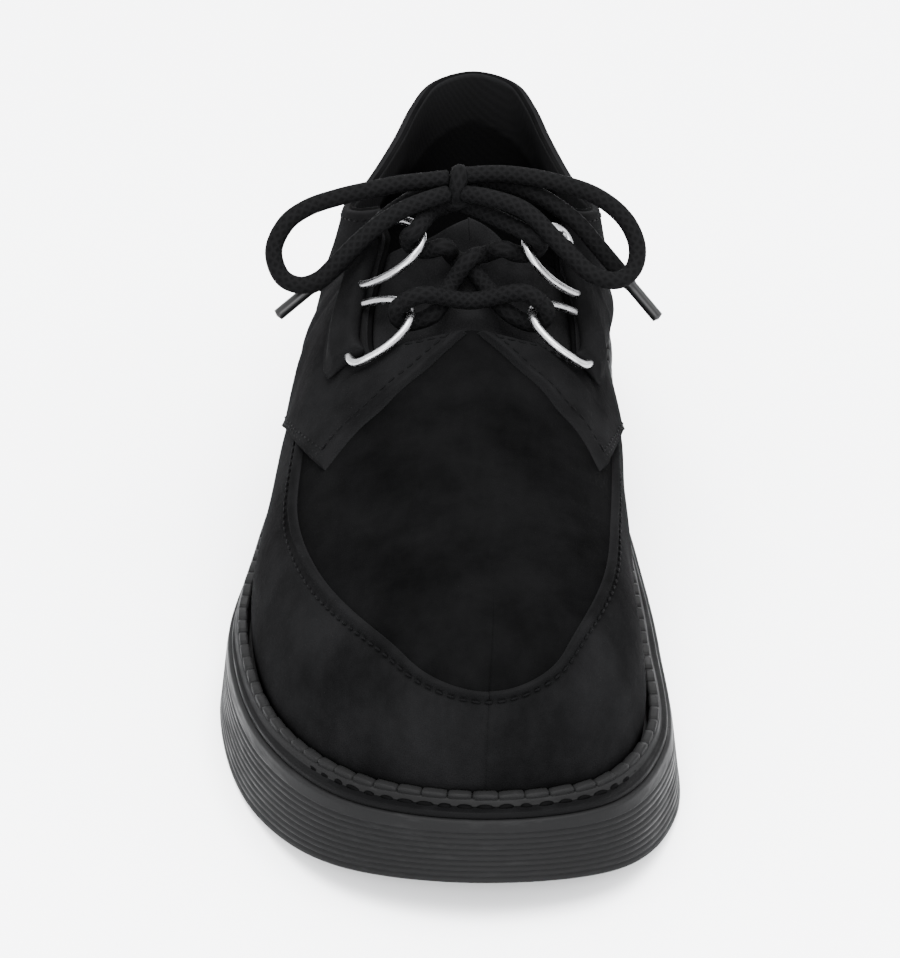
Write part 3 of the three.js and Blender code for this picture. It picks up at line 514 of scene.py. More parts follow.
def apron(side, station):
    """The share at which the apron's seam runs, eased between the places of its table."""
    shifts = np.linspace(-0.45, 0.45, 13)
    rows = [sided(APRON, "", side, np.abs(station + shift), True) for shift in shifts]
    weights = np.exp(-(shifts / 0.25) ** 2)
    return np.tensordot(weights / weights.sum(), np.array(rows), 1)


def placed(points):
    """Millimetres on the last to metres in the frame."""
    return (np.asarray(points) + ORIGIN) / 1000


# Meshes
def add_mesh(name, points, faces, finishes, picks=None):
    """A new object whose mesh holds the place of the piece; picks says which finish each face has."""
    mesh = bpy.data.meshes.new(name)
    mesh.from_pydata(placed(points).tolist(), [], [list(map(int, face)) for face in faces])
    for finish in finishes:
        mesh.materials.append(finish_of(finish))
    if picks is not None:
        mesh.polygons.foreach_set("material_index", np.asarray(picks, dtype=np.int32))
    mesh.polygons.foreach_set("use_smooth", [True] * len(mesh.polygons))
    mesh.update()
    mesh.validate()
    piece = bpy.data.objects.new(name, mesh)
    bpy.context.scene.collection.objects.link(piece)
    return piece


def attach(mesh, name, values):
    """Holds a number, or a direction, at each point of a mesh."""
    values = np.asarray(values, dtype=np.float32)
    kind, key = ("FLOAT", "value") if values.ndim == 1 else ("FLOAT_VECTOR", "vector")
    mesh.attributes.new(name, kind, "POINT").data.foreach_set(key, values.ravel())


def bands(ring, rings, around=False):
    """Faces between rings of points, and from the last one to the first where they go around."""
    pairs = zip(range(rings), [*range(1, rings), 0] if around else range(1, rings))
    return [[r * ring + k, r * ring + (k + 1) % ring, s * ring + (k + 1) % ring, s * ring + k]
            for r, s in pairs for k in range(ring)]


def turn_out(piece):
    """Merges doubles and points the faces of a closed piece outwards."""
    shape = bmesh.new()
    shape.from_mesh(piece.data)
    bmesh.ops.remove_doubles(shape, verts=shape.verts, dist=1e-7)
    bmesh.ops.recalc_face_normals(shape, faces=shape.faces)
    shape.to_mesh(piece.data)
    shape.free()
    piece.data.update()


class Sheet:
    """A sheet of the upper's form, of patches that share their centre lines."""

    def __init__(self, ridge_end=TONGUE_TOP):
        self.ridge_end = ridge_end
        self.known = {}
        self.spots = []
        self.faces = []

    def spot(self, side, station, share, lift, roll):
        shared = station in (0, HEEL_END) or (share == 1 and station <= self.ridge_end)
        key = (0 if shared else side, round(station, 5), round(share, 5))
        if key not in self.known:
            self.known[key] = len(self.spots)
            self.spots.append((side, station, share, lift, roll))
        return self.known[key]

    def patch(self, side, stations, shares, lifts=1.0, rolls=0.0):
        """A grid of spots: columns run along the first axis, rows along the second.
        lifts are 1 inside a panel and 0 at its rounded edges; rolls are added heights in millimetres."""
        grids = list(spread(stations, shares, lifts, rolls))
        columns, rows = grids[0].shape
        ids = [[self.spot(side, *(float(grid[i, j]) for grid in grids)) for j in range(rows)]
               for i in range(columns)]
        for i in range(columns - 1):
            for j in range(rows - 1):
                corners = [ids[i][j], ids[i + 1][j], ids[i + 1][j + 1], ids[i][j + 1]]
                if side < 0:
                    corners.reverse()
                corners = [c for k, c in enumerate(corners) if c != corners[k - 1]]
                if len(corners) > 2:
                    self.faces.append(corners)

    def thicken(self, name, outer, inner, finishes, place=worn_layer):
        """outer and inner are offsets by lift; the last finish is on the inner side."""
        side, station, share, lifts, rolls = np.array(self.spots).T
        outside = place(side, station, share, outer(lifts) + rolls)
        inside = place(side, station, share, inner(lifts))
        count = len(side)
        edges = {(f[k - 1], f[k]) for f in self.faces for k in range(len(f))}
        faces = list(self.faces)
        picks = [0] * len(faces)
        for face in self.faces:
            faces.append([c + count for c in reversed(face)])
            picks.append(len(finishes) - 1)
        for p, q in edges:
            if (q, p) not in edges:
                faces.append([q, p, p + count, q + count])
                picks.append(0)
        piece = add_mesh(name, np.vstack([outside, inside]), faces, finishes, picks)
        attach(piece.data, "edge", np.tile(1 - lifts, 2))
        return piece


def eased(count, ends, length):
    """Shares from 0 to 1, closer together where an end is rounded over."""
    near = np.array([0, 0.12, 0.4, 0.75, 1.15]) * EDGE_RADIUS / length
    low = near if ends[0] else np.array([0.0])
    high = 1 - near[::-1] if ends[1] else np.array([1.0])
    middle = np.linspace(low[-1], high[0], count + 2)[1:-1]
    return np.concatenate([low, middle, high])


def rounding(share, length, ends=(True, True)):
    """1 inside a panel, going to 0 at its rounded edges."""
    away = np.full_like(share, 1e3)
    if ends[0]:
        away = np.minimum(away, share * length)
    if ends[1]:
        away = np.minimum(away, (1 - share) * length)
    return nose(away, EDGE_RADIUS)


def tube(name, path, radius, finish, closed=False):
    """A round tube along a dense path, with a UV map of metres along it and turns round it."""
    sides = TUBE_SIDES
    count = len(path)
    if closed:
        ways = unit(np.roll(path, -1, axis=0) - np.roll(path, 1, axis=0))
    else:
        ways = unit(np.gradient(path, axis=0))
    normal = np.cross(ways[0], (0, 0, 1.0))
    if np.linalg.norm(normal) < 0.1:
        normal = np.cross(ways[0], (1.0, 0, 0))
    normals = []
    for way in ways:
        normal = unit(normal - way * way.dot(normal))
        normals.append(normal)
    normals = np.array(normals)
    if closed:
        drift = unit(normals[-1] - ways[0] * ways[0].dot(normals[-1]))
        cross = np.cross(normals[0], drift).dot(ways[0])
        twist = -math.atan2(cross, normals[0].dot(drift))
        angles = twist * np.arange(count) / count
        sidesway = np.cross(ways, normals)
        normals = normals * np.cos(angles)[:, None] + sidesway * np.sin(angles)[:, None]
    other = np.cross(ways, normals)
    radii = np.broadcast_to(np.asarray(radius, float), (count,))
    angle = np.arange(sides) / sides * 2 * math.pi
    points = (path[:, None] + radii[:, None, None] * (
        normals[:, None] * np.cos(angle)[None, :, None] + other[:, None] * np.sin(angle)[None, :, None]))
    steps = np.linalg.norm(np.diff(path, axis=0), axis=1)
    along = np.concatenate([[0], np.cumsum(steps)]) / 1000
    if closed:
        along = np.append(along, along[-1] + np.linalg.norm(path[0] - path[-1]) / 1000)
    faces = bands(sides, count, closed)
    uvs = [(at, turn / sides) for here, ahead in zip(along, along[1:]) for k in range(sides)
           for at, turn in ((here, k), (here, k + 1), (ahead, k + 1), (ahead, k))]
    verts = points.reshape(-1, 3)
    if not closed:
        dome = 0.35
        verts = np.vstack([
            verts, path[0] - ways[0] * radii[0] * dome, path[-1] + ways[-1] * radii[-1] * dome])
        for k in range(sides):
            n = (k + 1) % sides
            faces.append([count * sides, n, k])
            faces.append([count * sides + 1, (count - 1) * sides + k, (count - 1) * sides + n])
            uvs += [(0, k / sides)] * 3 + [(along[-1], k / sides)] * 3
    piece = add_mesh(name, verts, faces, [finish])
    piece.data.uv_layers.new(name="length").data.foreach_set("uv", np.array(uvs, dtype=np.float32).ravel())
    return piece


def smooth_path(points, step=0.6, closed=False):
    """Evenly spaced points on the curve through points."""
    points = np.asarray(points, float)
    dense = catmull(points, np.linspace(0, 1, 60 * len(points), endpoint=not closed), closed)
    if closed:
        dense = np.vstack([dense, dense[:1]])
    length = np.concatenate([[0], np.cumsum(np.linalg.norm(np.diff(dense, axis=0), axis=1))])
    count = max(8, int(length[-1] / step))
    at = np.linspace(0, length[-1], count + 1)
    if closed:
        at = at[:-1]
    return np.stack([np.interp(at, length, dense[:, k]) for k in range(3)], axis=1)


def finish_piece(piece, slot, *nodes):
    """Rides with the shoe and stands for its nodes; its slot is not used."""
    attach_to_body(piece, "root")
    if nodes:
        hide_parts(*nodes)
    return piece


def closed_piece(piece, slot, *nodes):
    turn_out(piece)
    return finish_piece(piece, slot, *nodes)


# Materials
class Value:
    """A node's output, for sums written as Python."""

    def __init__(self, tree, socket):
        self.tree = tree
        self.socket = socket

    def sum(self, operation, *parts):
        """One math node on the parts, which are values or plain numbers."""
        node = self.tree.nodes.new("ShaderNodeMath")
        node.operation = operation
        for target, part in zip(node.inputs, parts):
            if isinstance(part, Value):
                self.tree.links.new(part.socket, target)
            else:
                target.default_value = part
        return Value(self.tree, node.outputs[0])

    def __add__(self, other):
        return self.sum("ADD", self, other)

    def __radd__(self, other):
        return self.sum("ADD", other, self)

    def __sub__(self, other):
        return self.sum("SUBTRACT", self, other)

    def __rsub__(self, other):
        return self.sum("SUBTRACT", other, self)

    def __mul__(self, other):
        return self.sum("MULTIPLY", self, other)

    def sine(self):
        return self.sum("SINE", self)

    def highest(self, other):
        return self.sum("MAXIMUM", self, other)

    def clear_of(self, low, high):
        """0 at low, and 1 from high on."""
        return self.sum("MINIMUM", (self - low) * (1 / (high - low)), 1)


class Tree:
    """Nodes of a material or of a geometry tree, made by one method."""

    def __init__(self, tree):
        self.tree = tree

    def node(self, kind, settings=None, values=None, output=0):
        node = self.tree.nodes.new(kind)
        for name, value in (settings or {}).items():
            setattr(node, name, value)
        for name, value in (values or {}).items():
            target = node.inputs[name]
            if isinstance(value, Value):
                self.tree.links.new(value.socket, target)
            else:
                target.default_value = value
        return Value(self.tree, node.outputs[output])


class Finish(Tree):
    """One surface finish on a Principled shader."""

    def __init__(self, name, **constants):
        self.material = bpy.data.materials.new(name)
        self.material.use_nodes = True
        super().__init__(self.material.node_tree)
        self.shader = self.tree.nodes["Principled BSDF"]
        for label, value in constants.items():
            self.shader.inputs[label.replace("_", " ")].default_value = value
        self.place = self.node("ShaderNodeTexCoord", output="Object")

    def made(self, colour, roughness, normal=None):
        """The material, with its shader's inputs linked."""
        for label, value in (("Base Color", colour), ("Roughness", roughness), ("Normal", normal)):
            if value is not None:
                self.tree.links.new(value.socket, self.shader.inputs[label])
        return self.material

    def noise(self, scale, detail=2.0, roughness=0.5, place=None):
        return self.node("ShaderNodeTexNoise", {}, {
            "Vector": place or self.place, "Scale": scale, "Detail": detail, "Roughness": roughness})

    def stretched(self, x, y, z):
        return self.node("ShaderNodeMapping", {}, {"Vector": self.place, "Scale": (x, y, z)})

    def mixed(self, share, first, second):
        """Between two colours."""
        return self.node("ShaderNodeMix", {"data_type": "RGBA"}, {
            "Factor": share, 6: first, 7: second}, output=2)

    def bump(self, height, strength, distance, below=None):
        values = {"Height": height, "Strength": strength, "Distance": distance}
        if below is not None:
            values["Normal"] = below
        return self.node("ShaderNodeBump", {}, values)


def tint(colour, factor):
    return tuple(min(1.0, c * factor) for c in colour[:3]) + (1.0,)


def suede_finish(name, colour, nap=1.0, edge_lift=0.9):
    """Suede: short nap that lies in patches, lighter at the panels' rounded edges, partly for rubbed cut
    edges and partly as a painted highlight on the raised edges.
    """
    finish = Finish(name, Specular_IOR_Level=0.004)
    patches = finish.noise(48, 4, 0.6)
    strokes = finish.noise(1.0, 3, 0.6, finish.stretched(260, 90, 160))
    fibre = finish.noise(1900, 2, 0.7)
    edge = finish.node("ShaderNodeAttribute", {"attribute_name": "edge"}, output="Fac")
    light = patches.clear_of(0.36, 0.64) * 0.65 + strokes.clear_of(0.35, 0.7) * 0.2 + fibre * 0.25
    base = finish.mixed(light, tint(colour, 0.6), tint(colour, 1.5))
    # Painted highlight: the rounded edges of each panel are painted up to 2.1 times lighter, partly for the
    # light they catch and partly for the rubbed cut edge.
    edge_wear_and_highlight = finish.mixed((edge * edge_lift).clear_of(0.0, 1.0), base, tint(colour, 2.1))
    coarse = finish.bump(finish.noise(380, 4, 0.65), 0.55 * nap, 0.0006)
    return finish.made(edge_wear_and_highlight, 0.82 + fibre * 0.16, finish.bump(fibre, 0.6 * nap, 0.00018, coarse))


def rubber_finish(name, colour, grain=1.0):
    """Matt moulded rubber with a fine grain, fine dust and light scuffs."""
    finish = Finish(name, Specular_IOR_Level=0.018)
    clouds = finish.noise(34, 3, 0.55)
    scuffs = finish.noise(1.0, 4, 0.7, finish.stretched(120, 60, 700))
    dust = finish.noise(900, 2, 0.6)
    scuffed = scuffs.clear_of(0.62, 0.76)
    light = clouds.clear_of(0.35, 0.7) * 0.4 + scuffed * 0.5 + dust * 0.2
    return finish.made(
        finish.mixed(light, tint(colour, 0.85), tint(colour, 1.35)),
        0.47 + clouds * 0.2 + scuffed * 0.12, finish.bump(dust, 0.25 * grain, 0.00012))


def steel_finish(name, colour):
    """Drawn and polished steel wire with fine rub marks."""
    finish = Finish(name, Metallic=1.0)
    marks = finish.noise(1.0, 3, 0.6, finish.stretched(300, 2600, 300))
    clouds = finish.noise(300, 2, 0.5)
    return finish.made(
        finish.mixed(marks.clear_of(0.45, 0.8), tint(colour, 1.0), tint(colour, 0.8)),
        0.26 + clouds * 0.12 + marks.clear_of(0.55, 0.75) * 0.12, finish.bump(marks, 0.08, 0.00005))


def cord_finish(name, colour):
    """A round braid: two sets of strands that cross, read along the piece's own length."""
    pitch = 0.0026
    strands = 6
    finish = Finish(name, Specular_IOR_Level=0.012)
    length = finish.node("ShaderNodeUVMap", {"uv_map": "length"})
    parts = finish.tree.nodes.new("ShaderNodeSeparateXYZ")
    finish.tree.links.new(length.socket, parts.inputs[0])
    along = Value(finish.tree, parts.outputs[0]) * (2 * math.pi / pitch)
    turn = Value(finish.tree, parts.outputs[1]) * (2 * math.pi * strands)
    braid = (along + turn).sine().highest((along - turn).sine())
    yarn = finish.noise(2600, 2, 0.6)
    height = braid * 0.5 + 0.5
    # Painted shade: the braid's colour is darker where it lies low between the strands.
    light = height.clear_of(0.35, 1.0) * 0.5 + yarn * 0.5
    return finish.made(
        finish.mixed(light, tint(colour, 0.7), tint(colour, 1.4)), 0.72 + yarn * 0.2,
        finish.bump(yarn, 0.3, 0.0001, finish.bump(height, 0.6, 0.00025)))


def cloth_finish(name, colour):
    """A dense twill lining, at half its colour everywhere but the band round the top of the heel: painted
    shade for the dark inside of the shoe.
    """
    finish = Finish(name, Specular_IOR_Level=0.01)
    twill = finish.node("ShaderNodeTexWave", {"bands_direction": "DIAGONAL"}, {
        "Vector": finish.place, "Scale": 260.0, "Distortion": 1.5, "Detail": 2.0})
    clouds = finish.noise(40, 3, 0.5)
    light = twill * 0.3 + clouds.clear_of(0.3, 0.7) * 0.5
    unshaded_band = finish.node("ShaderNodeAttribute", {"attribute_name": "unshaded_band"}, output="Fac")
    shown = finish.mixed(light, tint(colour, 0.85), tint(colour, 1.25))
    # Painted shade: outside the band at the top of the heel the lining is painted at half its colour.
    return finish.made(
        finish.mixed(unshaded_band, tint(colour, 0.5), shown), 0.8 + twill * 0.12, finish.bump(twill, 0.2, 0.00015))


def thread_finish(name, colour):
    """Twisted waxed thread."""
    finish = Finish(name, Specular_IOR_Level=0.012)
    twist = finish.noise(1.0, 2, 0.5, finish.stretched(2200, 900, 1500))
    return finish.made(
        finish.mixed(twist, tint(colour, 0.6), tint(colour, 1.5)), 0.5 + twist * 0.3,
        finish.bump(twist, 0.4, 0.0001))


def tip_finish(name, colour):
    """Glossy film wound round the end of the lace."""
    finish = Finish(name, Specular_IOR_Level=0.2)
    rub = finish.noise(500, 3, 0.5)
    return finish.made(
        finish.mixed(rub, tint(colour, 0.8), tint(colour, 1.3)), 0.22 + rub * 0.2,
        finish.bump(rub, 0.1, 0.0001))


def floor_finish(name, colour):
    finish = Finish(name)
    cloud = finish.noise(3, 2, 0.5)
    return finish.made(finish.mixed(cloud, tint(colour, 0.99), tint(colour, 1.0)), 0.85 + cloud * 0.1)


FINISHES = {}


def finish_of(kind):
    """Each finish is made once, from the colours in the panel."""
    if kind not in FINISHES:
        colours = bpy.context.scene.derby_colours
        makers = {
            # The apron's suede is smoother, and its darker colour is partly painted shade: the upward-facing
            # toe looks darker under the light than the mudguard.
            "apron": lambda: suede_finish("apron suede", colours.apron, 0.7, 0.4),
            "suede": lambda: suede_finish("panel suede", colours.suede),
            # Painted light: the tongue is the panels' suede painted 1.7 times lighter, to make up for the
            # shade it lies in under the lace.
            "tongue": lambda: suede_finish("tongue suede", tint(colours.suede, 1.7)),
            "rubber": lambda: rubber_finish("sole rubber", colours.rubber),
            "welt": lambda: rubber_finish("welt rubber", colours.welt, 1.6),
            "lining": lambda: cloth_finish("twill lining", colours.lining),
            "steel": lambda: steel_finish("ring steel", colours.steel),
            "cord": lambda: cord_finish("braided lace", colours.lace),
            "tip": lambda: tip_finish("lace tip", colours.lace),
            "thread": lambda: thread_finish("seam thread", colours.thread),
            "twine": lambda: thread_finish("welt twine", tint(colours.thread, 0.45)),
        }
        FINISHES[kind] = makers[kind]()
    return FINISHES[kind]


# Geometry Nodes
class Shaping(Tree):
    """A geometry tree with named inputs."""

    def __init__(self, name, **inputs):
        super().__init__(bpy.data.node_groups.new(name, "GeometryNodeTree"))
        for label, kind in {"Geometry": "Geometry", **inputs}.items():
            self.tree.interface.new_socket(label, in_out="INPUT", socket_type="NodeSocket" + kind)
        self.tree.interface.new_socket("Geometry", in_out="OUTPUT", socket_type="NodeSocketGeometry")
        self.given = self.tree.nodes.new("NodeGroupInput")

    def asked(self, label):
        return Value(self.tree, self.given.outputs[label])

    def kept(self, name, kind):
        """What the points hold under a name."""
        return self.node("GeometryNodeInputNamedAttribute", {"data_type": kind}, {"Name": name})

    def vector(self, *parts):
        return self.node("ShaderNodeCombineXYZ", {}, dict(zip("XYZ", parts)))

    def made(self, shape):
        end = self.tree.nodes.new("NodeGroupOutput")
        self.tree.links.new(shape.socket, end.inputs["Geometry"])
        return self.tree


def repeat_tree(name, shape):
    """Sets one small shape at even steps along each line of a mesh, standing on its outward side."""
    build = Shaping(name, Step="Float", Length="Float", Width="Float", Height="Float",
                    Unevenness="Float", Seed="Int", Material="Material")
    asked = build.asked
    line = build.node("GeometryNodeMeshToCurve", {}, {"Mesh": asked("Geometry")})
    line = build.node("GeometryNodeResampleCurve", {"mode": "LENGTH"}, {
        "Curve": line, "Length": asked("Step")})
    points = build.node("GeometryNodeCurveToPoints", {"mode": "EVALUATED"}, {"Curve": line})
    tangent = Value(build.tree, points.socket.node.outputs["Tangent"])
    turned = build.node("FunctionNodeAlignRotationToVector", {"axis": "Z"}, {
        "Vector": build.kept("out", "FLOAT_VECTOR")})
    turned = build.node("FunctionNodeAlignRotationToVector", {"axis": "X", "pivot_axis": "Z"}, {
        "Rotation": turned, "Vector": tangent})
    if shape == "stitch":
        one = build.node("GeometryNodeMeshUVSphere", {}, {"Segments": 8, "Rings": 6, "Radius": 0.5})
    else:
        cube = build.node("GeometryNodeMeshCube", {}, {"Size": (1.12, 1.12, 1.12)})
        one = build.node("GeometryNodeSubdivisionSurface", {}, {
            "Mesh": cube, "Level": 2, "Edge Crease": 0.42})
    size = build.vector(asked("Length"), asked("Width"), asked("Height"))
    low = 1 - asked("Unevenness")
    high = 1 + asked("Unevenness")
    varied = build.node("FunctionNodeRandomValue", {"data_type": "FLOAT_VECTOR"}, {
        0: build.vector(low, low, low), 1: build.vector(high, high, high), "Seed": asked("Seed")})
    scale = build.node("ShaderNodeVectorMath", {"operation": "MULTIPLY"}, {0: size, 1: varied})
    copies = build.node("GeometryNodeInstanceOnPoints", {}, {
        "Points": points, "Instance": one, "Rotation": turned, "Scale": scale})
    lean = build.node("FunctionNodeRandomValue", {"data_type": "FLOAT"}, {
        2: asked("Unevenness") * -0.6, 3: asked("Unevenness") * 0.6, "Seed": asked("Seed") + 7}, output=1)
    copies = build.node("GeometryNodeRotateInstances", {}, {
        "Instances": copies, "Rotation": build.vector(0.0, 0.0, lean)})
    real = build.node("GeometryNodeRealizeInstances", {}, {"Geometry": copies})
    real = build.node("GeometryNodeSetShadeSmooth", {}, {"Geometry": real})
    return build.made(build.node("GeometryNodeSetMaterial", {}, {
        "Geometry": real, "Material": asked("Material")}))


def groove_tree(name):
    """Presses even grooves round a wall, from its share of height and its outward side."""
    build = Shaping(name, Count="Float", Depth="Float", Width="Float")
    share = build.kept("share", "FLOAT")
    wave = share.sum("FRACT", share * build.asked("Count"))
    away = share.sum("DIVIDE", share.sum("ABSOLUTE", wave - 0.5), build.asked("Width"))
    inside = build.node("FunctionNodeCompare", {"data_type": "FLOAT", "operation": "GREATER_THAN"}, {
        0: share, 1: 0.0})
    depth = (1 - away * away).highest(0) * build.asked("Depth") * -1 * inside
    move = build.node("ShaderNodeVectorMath", {"operation": "SCALE"}, {
        0: build.kept("out", "FLOAT_VECTOR"), "Scale": depth})
    return build.made(build.node("GeometryNodeSetPosition", {}, {
        "Geometry": build.asked("Geometry"), "Offset": move}))


def grown(piece, tree, inputs):
    """Runs a tree on a piece and keeps the result as its plain mesh."""
    modifier = piece.modifiers.new(tree.name, "NODES")
    modifier.node_group = tree
    for label, value in inputs.items():
        modifier[tree.interface.items_tree[label].identifier] = value
    return settled(piece)


def settled(piece):
    """Keeps what the piece's modifiers make as a plain mesh, and removes them."""
    bpy.context.view_layer.update()
    shaped = bpy.data.meshes.new_from_object(piece.evaluated_get(bpy.context.evaluated_depsgraph_get()))
    old = piece.data
    shaped.name = old.name
    piece.modifiers.clear()
    piece.data = shaped
    bpy.data.meshes.remove(old)
    return piece


def lines(name, runs, material):
    """Lines of points in millimetres, each with the direction that is outward there."""
    points = []
    outs = []
    edges = []
    for run, out in runs:
        first = len(points)
        points += placed(run).tolist()
        outs += np.broadcast_to(out, np.shape(run)).tolist()
        edges += [(first + k, first + k + 1) for k in range(len(run) - 1)]
    mesh = bpy.data.meshes.new(name)
    mesh.from_pydata(points, edges, [])
    mesh.materials.append(material)
    attach(mesh, "out", outs)
    piece = bpy.data.objects.new(name, mesh)
    bpy.context.scene.collection.objects.link(piece)
    return piece


def repeated(name, runs, shape, finish, seed, unevenness, **sizes):
    """One small shape at even steps along lines; the sizes are in millimetres."""
    return grown(lines(name, runs, finish_of(finish)), repeat_tree(name + " " + shape, shape), {
        **{label: size / 1000 for label, size in sizes.items()},
        "Unevenness": unevenness, "Seed": seed, "Material": finish_of(finish)})


# The sole
def round_the_sole(count):
    """Sides and stations round the sole, down the lateral side and back up the medial one."""
    down = np.linspace(0, HEEL_END, count + 1)
    side = np.concatenate([np.full(count + 1, -1.0), np.full(count - 1, 1.0)])
    return side, np.concatenate([down, down[1:-1][::-1]])


def ring_stack(name, rings, finish):
    """A closed solid of rings of equal count, with a strip for each pair of opposite places."""
    count = len(rings[0])
    faces = bands(count, len(rings))
    last = (len(rings) - 1) * count
    for i in range(count // 2):
        strip = [i, i + 1, count - i - 1, (count - i) % count]
        strip = [c for k, c in enumerate(strip) if c != strip[k - 1]]
        faces.append(strip[::-1])
        faces.append([last + c for c in strip])
    return add_mesh(name, np.vstack(rings), faces, [finish])


def sole_ring(side, station, share, out):
    point = sole_edge(side, station, -out)
    point[..., 2] = sole_top(point[..., 1]) * (1 - share) + sole_bottom(point[..., 1]) * share
    return point


def build_outsole(sizes):
    side, station = round_the_sole(SOLE_STATIONS)
    rings = []
    shares = []

    def ring(share, out, groove=-1):
        rings.append(sole_ring(side, station, share, out))
        shares.append(groove)

    for turn in np.linspace(0, math.pi / 2, 5):
        ring(0.05 * (1 - math.cos(turn)), -EDGE_ROUND * (1 - math.sin(turn)))
    steps = GROOVE_RINGS * sizes.groove_count
    for k in range(steps + 1):
        share = LIP_SHARE + (RIB_END - LIP_SHARE) * k / steps
        ring(share, SIDE_FLARE * share, k / steps if 0 < k < steps else -1)
    for turn in np.linspace(0.3, math.pi / 2, 5):
        ring(RIB_END + (1 - RIB_END) * math.sin(turn), SIDE_FLARE - EDGE_ROUND * (1 - math.cos(turn)))
    sole = ring_stack("derby_outsole", rings, "rubber")
    out = sole_edge(side, station, -1) - sole_edge(side, station)
    attach(sole.data, "out", np.tile(out, (len(rings), 1)))
    attach(sole.data, "share", np.repeat(shares, len(side)))
    grown(sole, groove_tree("Sole grooves"), {
        "Count": float(sizes.groove_count), "Depth": sizes.groove_depth, "Width": GROOVE_WIDTH})
    turn_out(sole)
    cut(sole, arch_block())
    for share in TREADS:
        cut(sole, tread_block(share))
    smooth_by_angle(sole, 40)
    return finish_piece(sole, "rubber", "outsole")


def bar(outline, left, right):
    """A solid with one outline in Y and Z, from left to right."""
    count = len(outline)
    faces = bands(count, 2) + [list(range(count))[::-1], [count + k for k in range(count)]]
    points = [(x, y, z) for x in (left, right) for y, z in outline]
    block = add_mesh("block", points, faces, ["rubber"])
    turn_out(block)
    return block


def arch_block():
    """What is cut away under the waist, up to the heel's breast."""
    start = ARCH_START * SOLE_LENGTH
    breast = HEEL_BREAST * SOLE_LENGTH
    t = np.linspace(0, 1, 25)
    ys = (start * (1 - t) ** 3 + 3 * (start + 18) * t * (1 - t) ** 2 + 3 * (start + 22) * t ** 2 * (1 - t)
          + (start + 60) * t ** 3)
    zs = 3 * ARCH_HEIGHT * t ** 2 * (1 - t) + ARCH_HEIGHT * t ** 3
    outline = [(start, -1.0)] + list(zip(ys, zs)) + [
        (breast - 3, ARCH_HEIGHT), (breast - 1, ARCH_HEIGHT - 0.8), (breast, ARCH_HEIGHT - 3), (breast, -1.0)]
    return bar(outline, -BALL_WIDTH, BALL_WIDTH)


def tread_block(share):
    """One channel across the tread, with a rounded bed."""
    y = share * SOLE_LENGTH
    z = sole_bottom(y)
    station = np.linspace(0, HEEL_END, 1600)
    left, right = (s * (abs(float(np.interp(y, *sole_edge(s, station).T[1::-1]))) - TREAD_BORDER)
                   for s in (-1, 1))
    half = TREAD_WIDTH / 2
    outline = [(-half, -4), (-half, TREAD_DEPTH - 1), (-half * 0.6, TREAD_DEPTH), (half * 0.6, TREAD_DEPTH),
               (half, TREAD_DEPTH - 1), (half, -4)]
    return bar([(y + a, z + b) for a, b in outline], left, right)


def cut(piece, block):
    """Cuts a block out of a piece, and removes the block."""
    modifier = piece.modifiers.new("cut", "BOOLEAN")
    modifier.operation = "DIFFERENCE"
    modifier.solver = "EXACT"
    modifier.object = block
    settled(piece)
    data = block.data
    bpy.data.objects.remove(block)
    bpy.data.meshes.remove(data)


def smooth_by_angle(piece, degrees):
    """Soft shading, but for the edges that are sharper than the angle."""
    shape = bmesh.new()
    shape.from_mesh(piece.data)
    for edge in shape.edges:
        edge.smooth = edge.calc_face_angle(0) < math.radians(degrees)
    for face in shape.faces:
        face.smooth = True
    shape.to_mesh(piece.data)
    shape.free()


def wall_at(side, station, height, out):
    """A place at some height against the upper's lower wall, and out from it."""
    step = MUDGUARD_STEP + (QUARTER_STEP - MUDGUARD_STEP) * smoothstep(station, 4.3, 4.7)
    foot = feather(side, station)[..., 2]
    shares = np.linspace(0, 0.2, 81)
    grid = layer(side[:, None], station[:, None], shares[None, :], step[:, None])
    above = grid[..., 2] >= (foot + height)[:, None]
    share = shares[np.where(above.any(axis=1), np.argmax(above, axis=1), len(shares) - 1)]
    flat = unit(outward(side, station, share) * np.array([1, 1, 0]))
    point = layer(side, station, share, step) + flat * (WELT_GAP + out)
    point[..., 2] = sole_top(point[..., 1]) + CLEARANCE + height
    return point


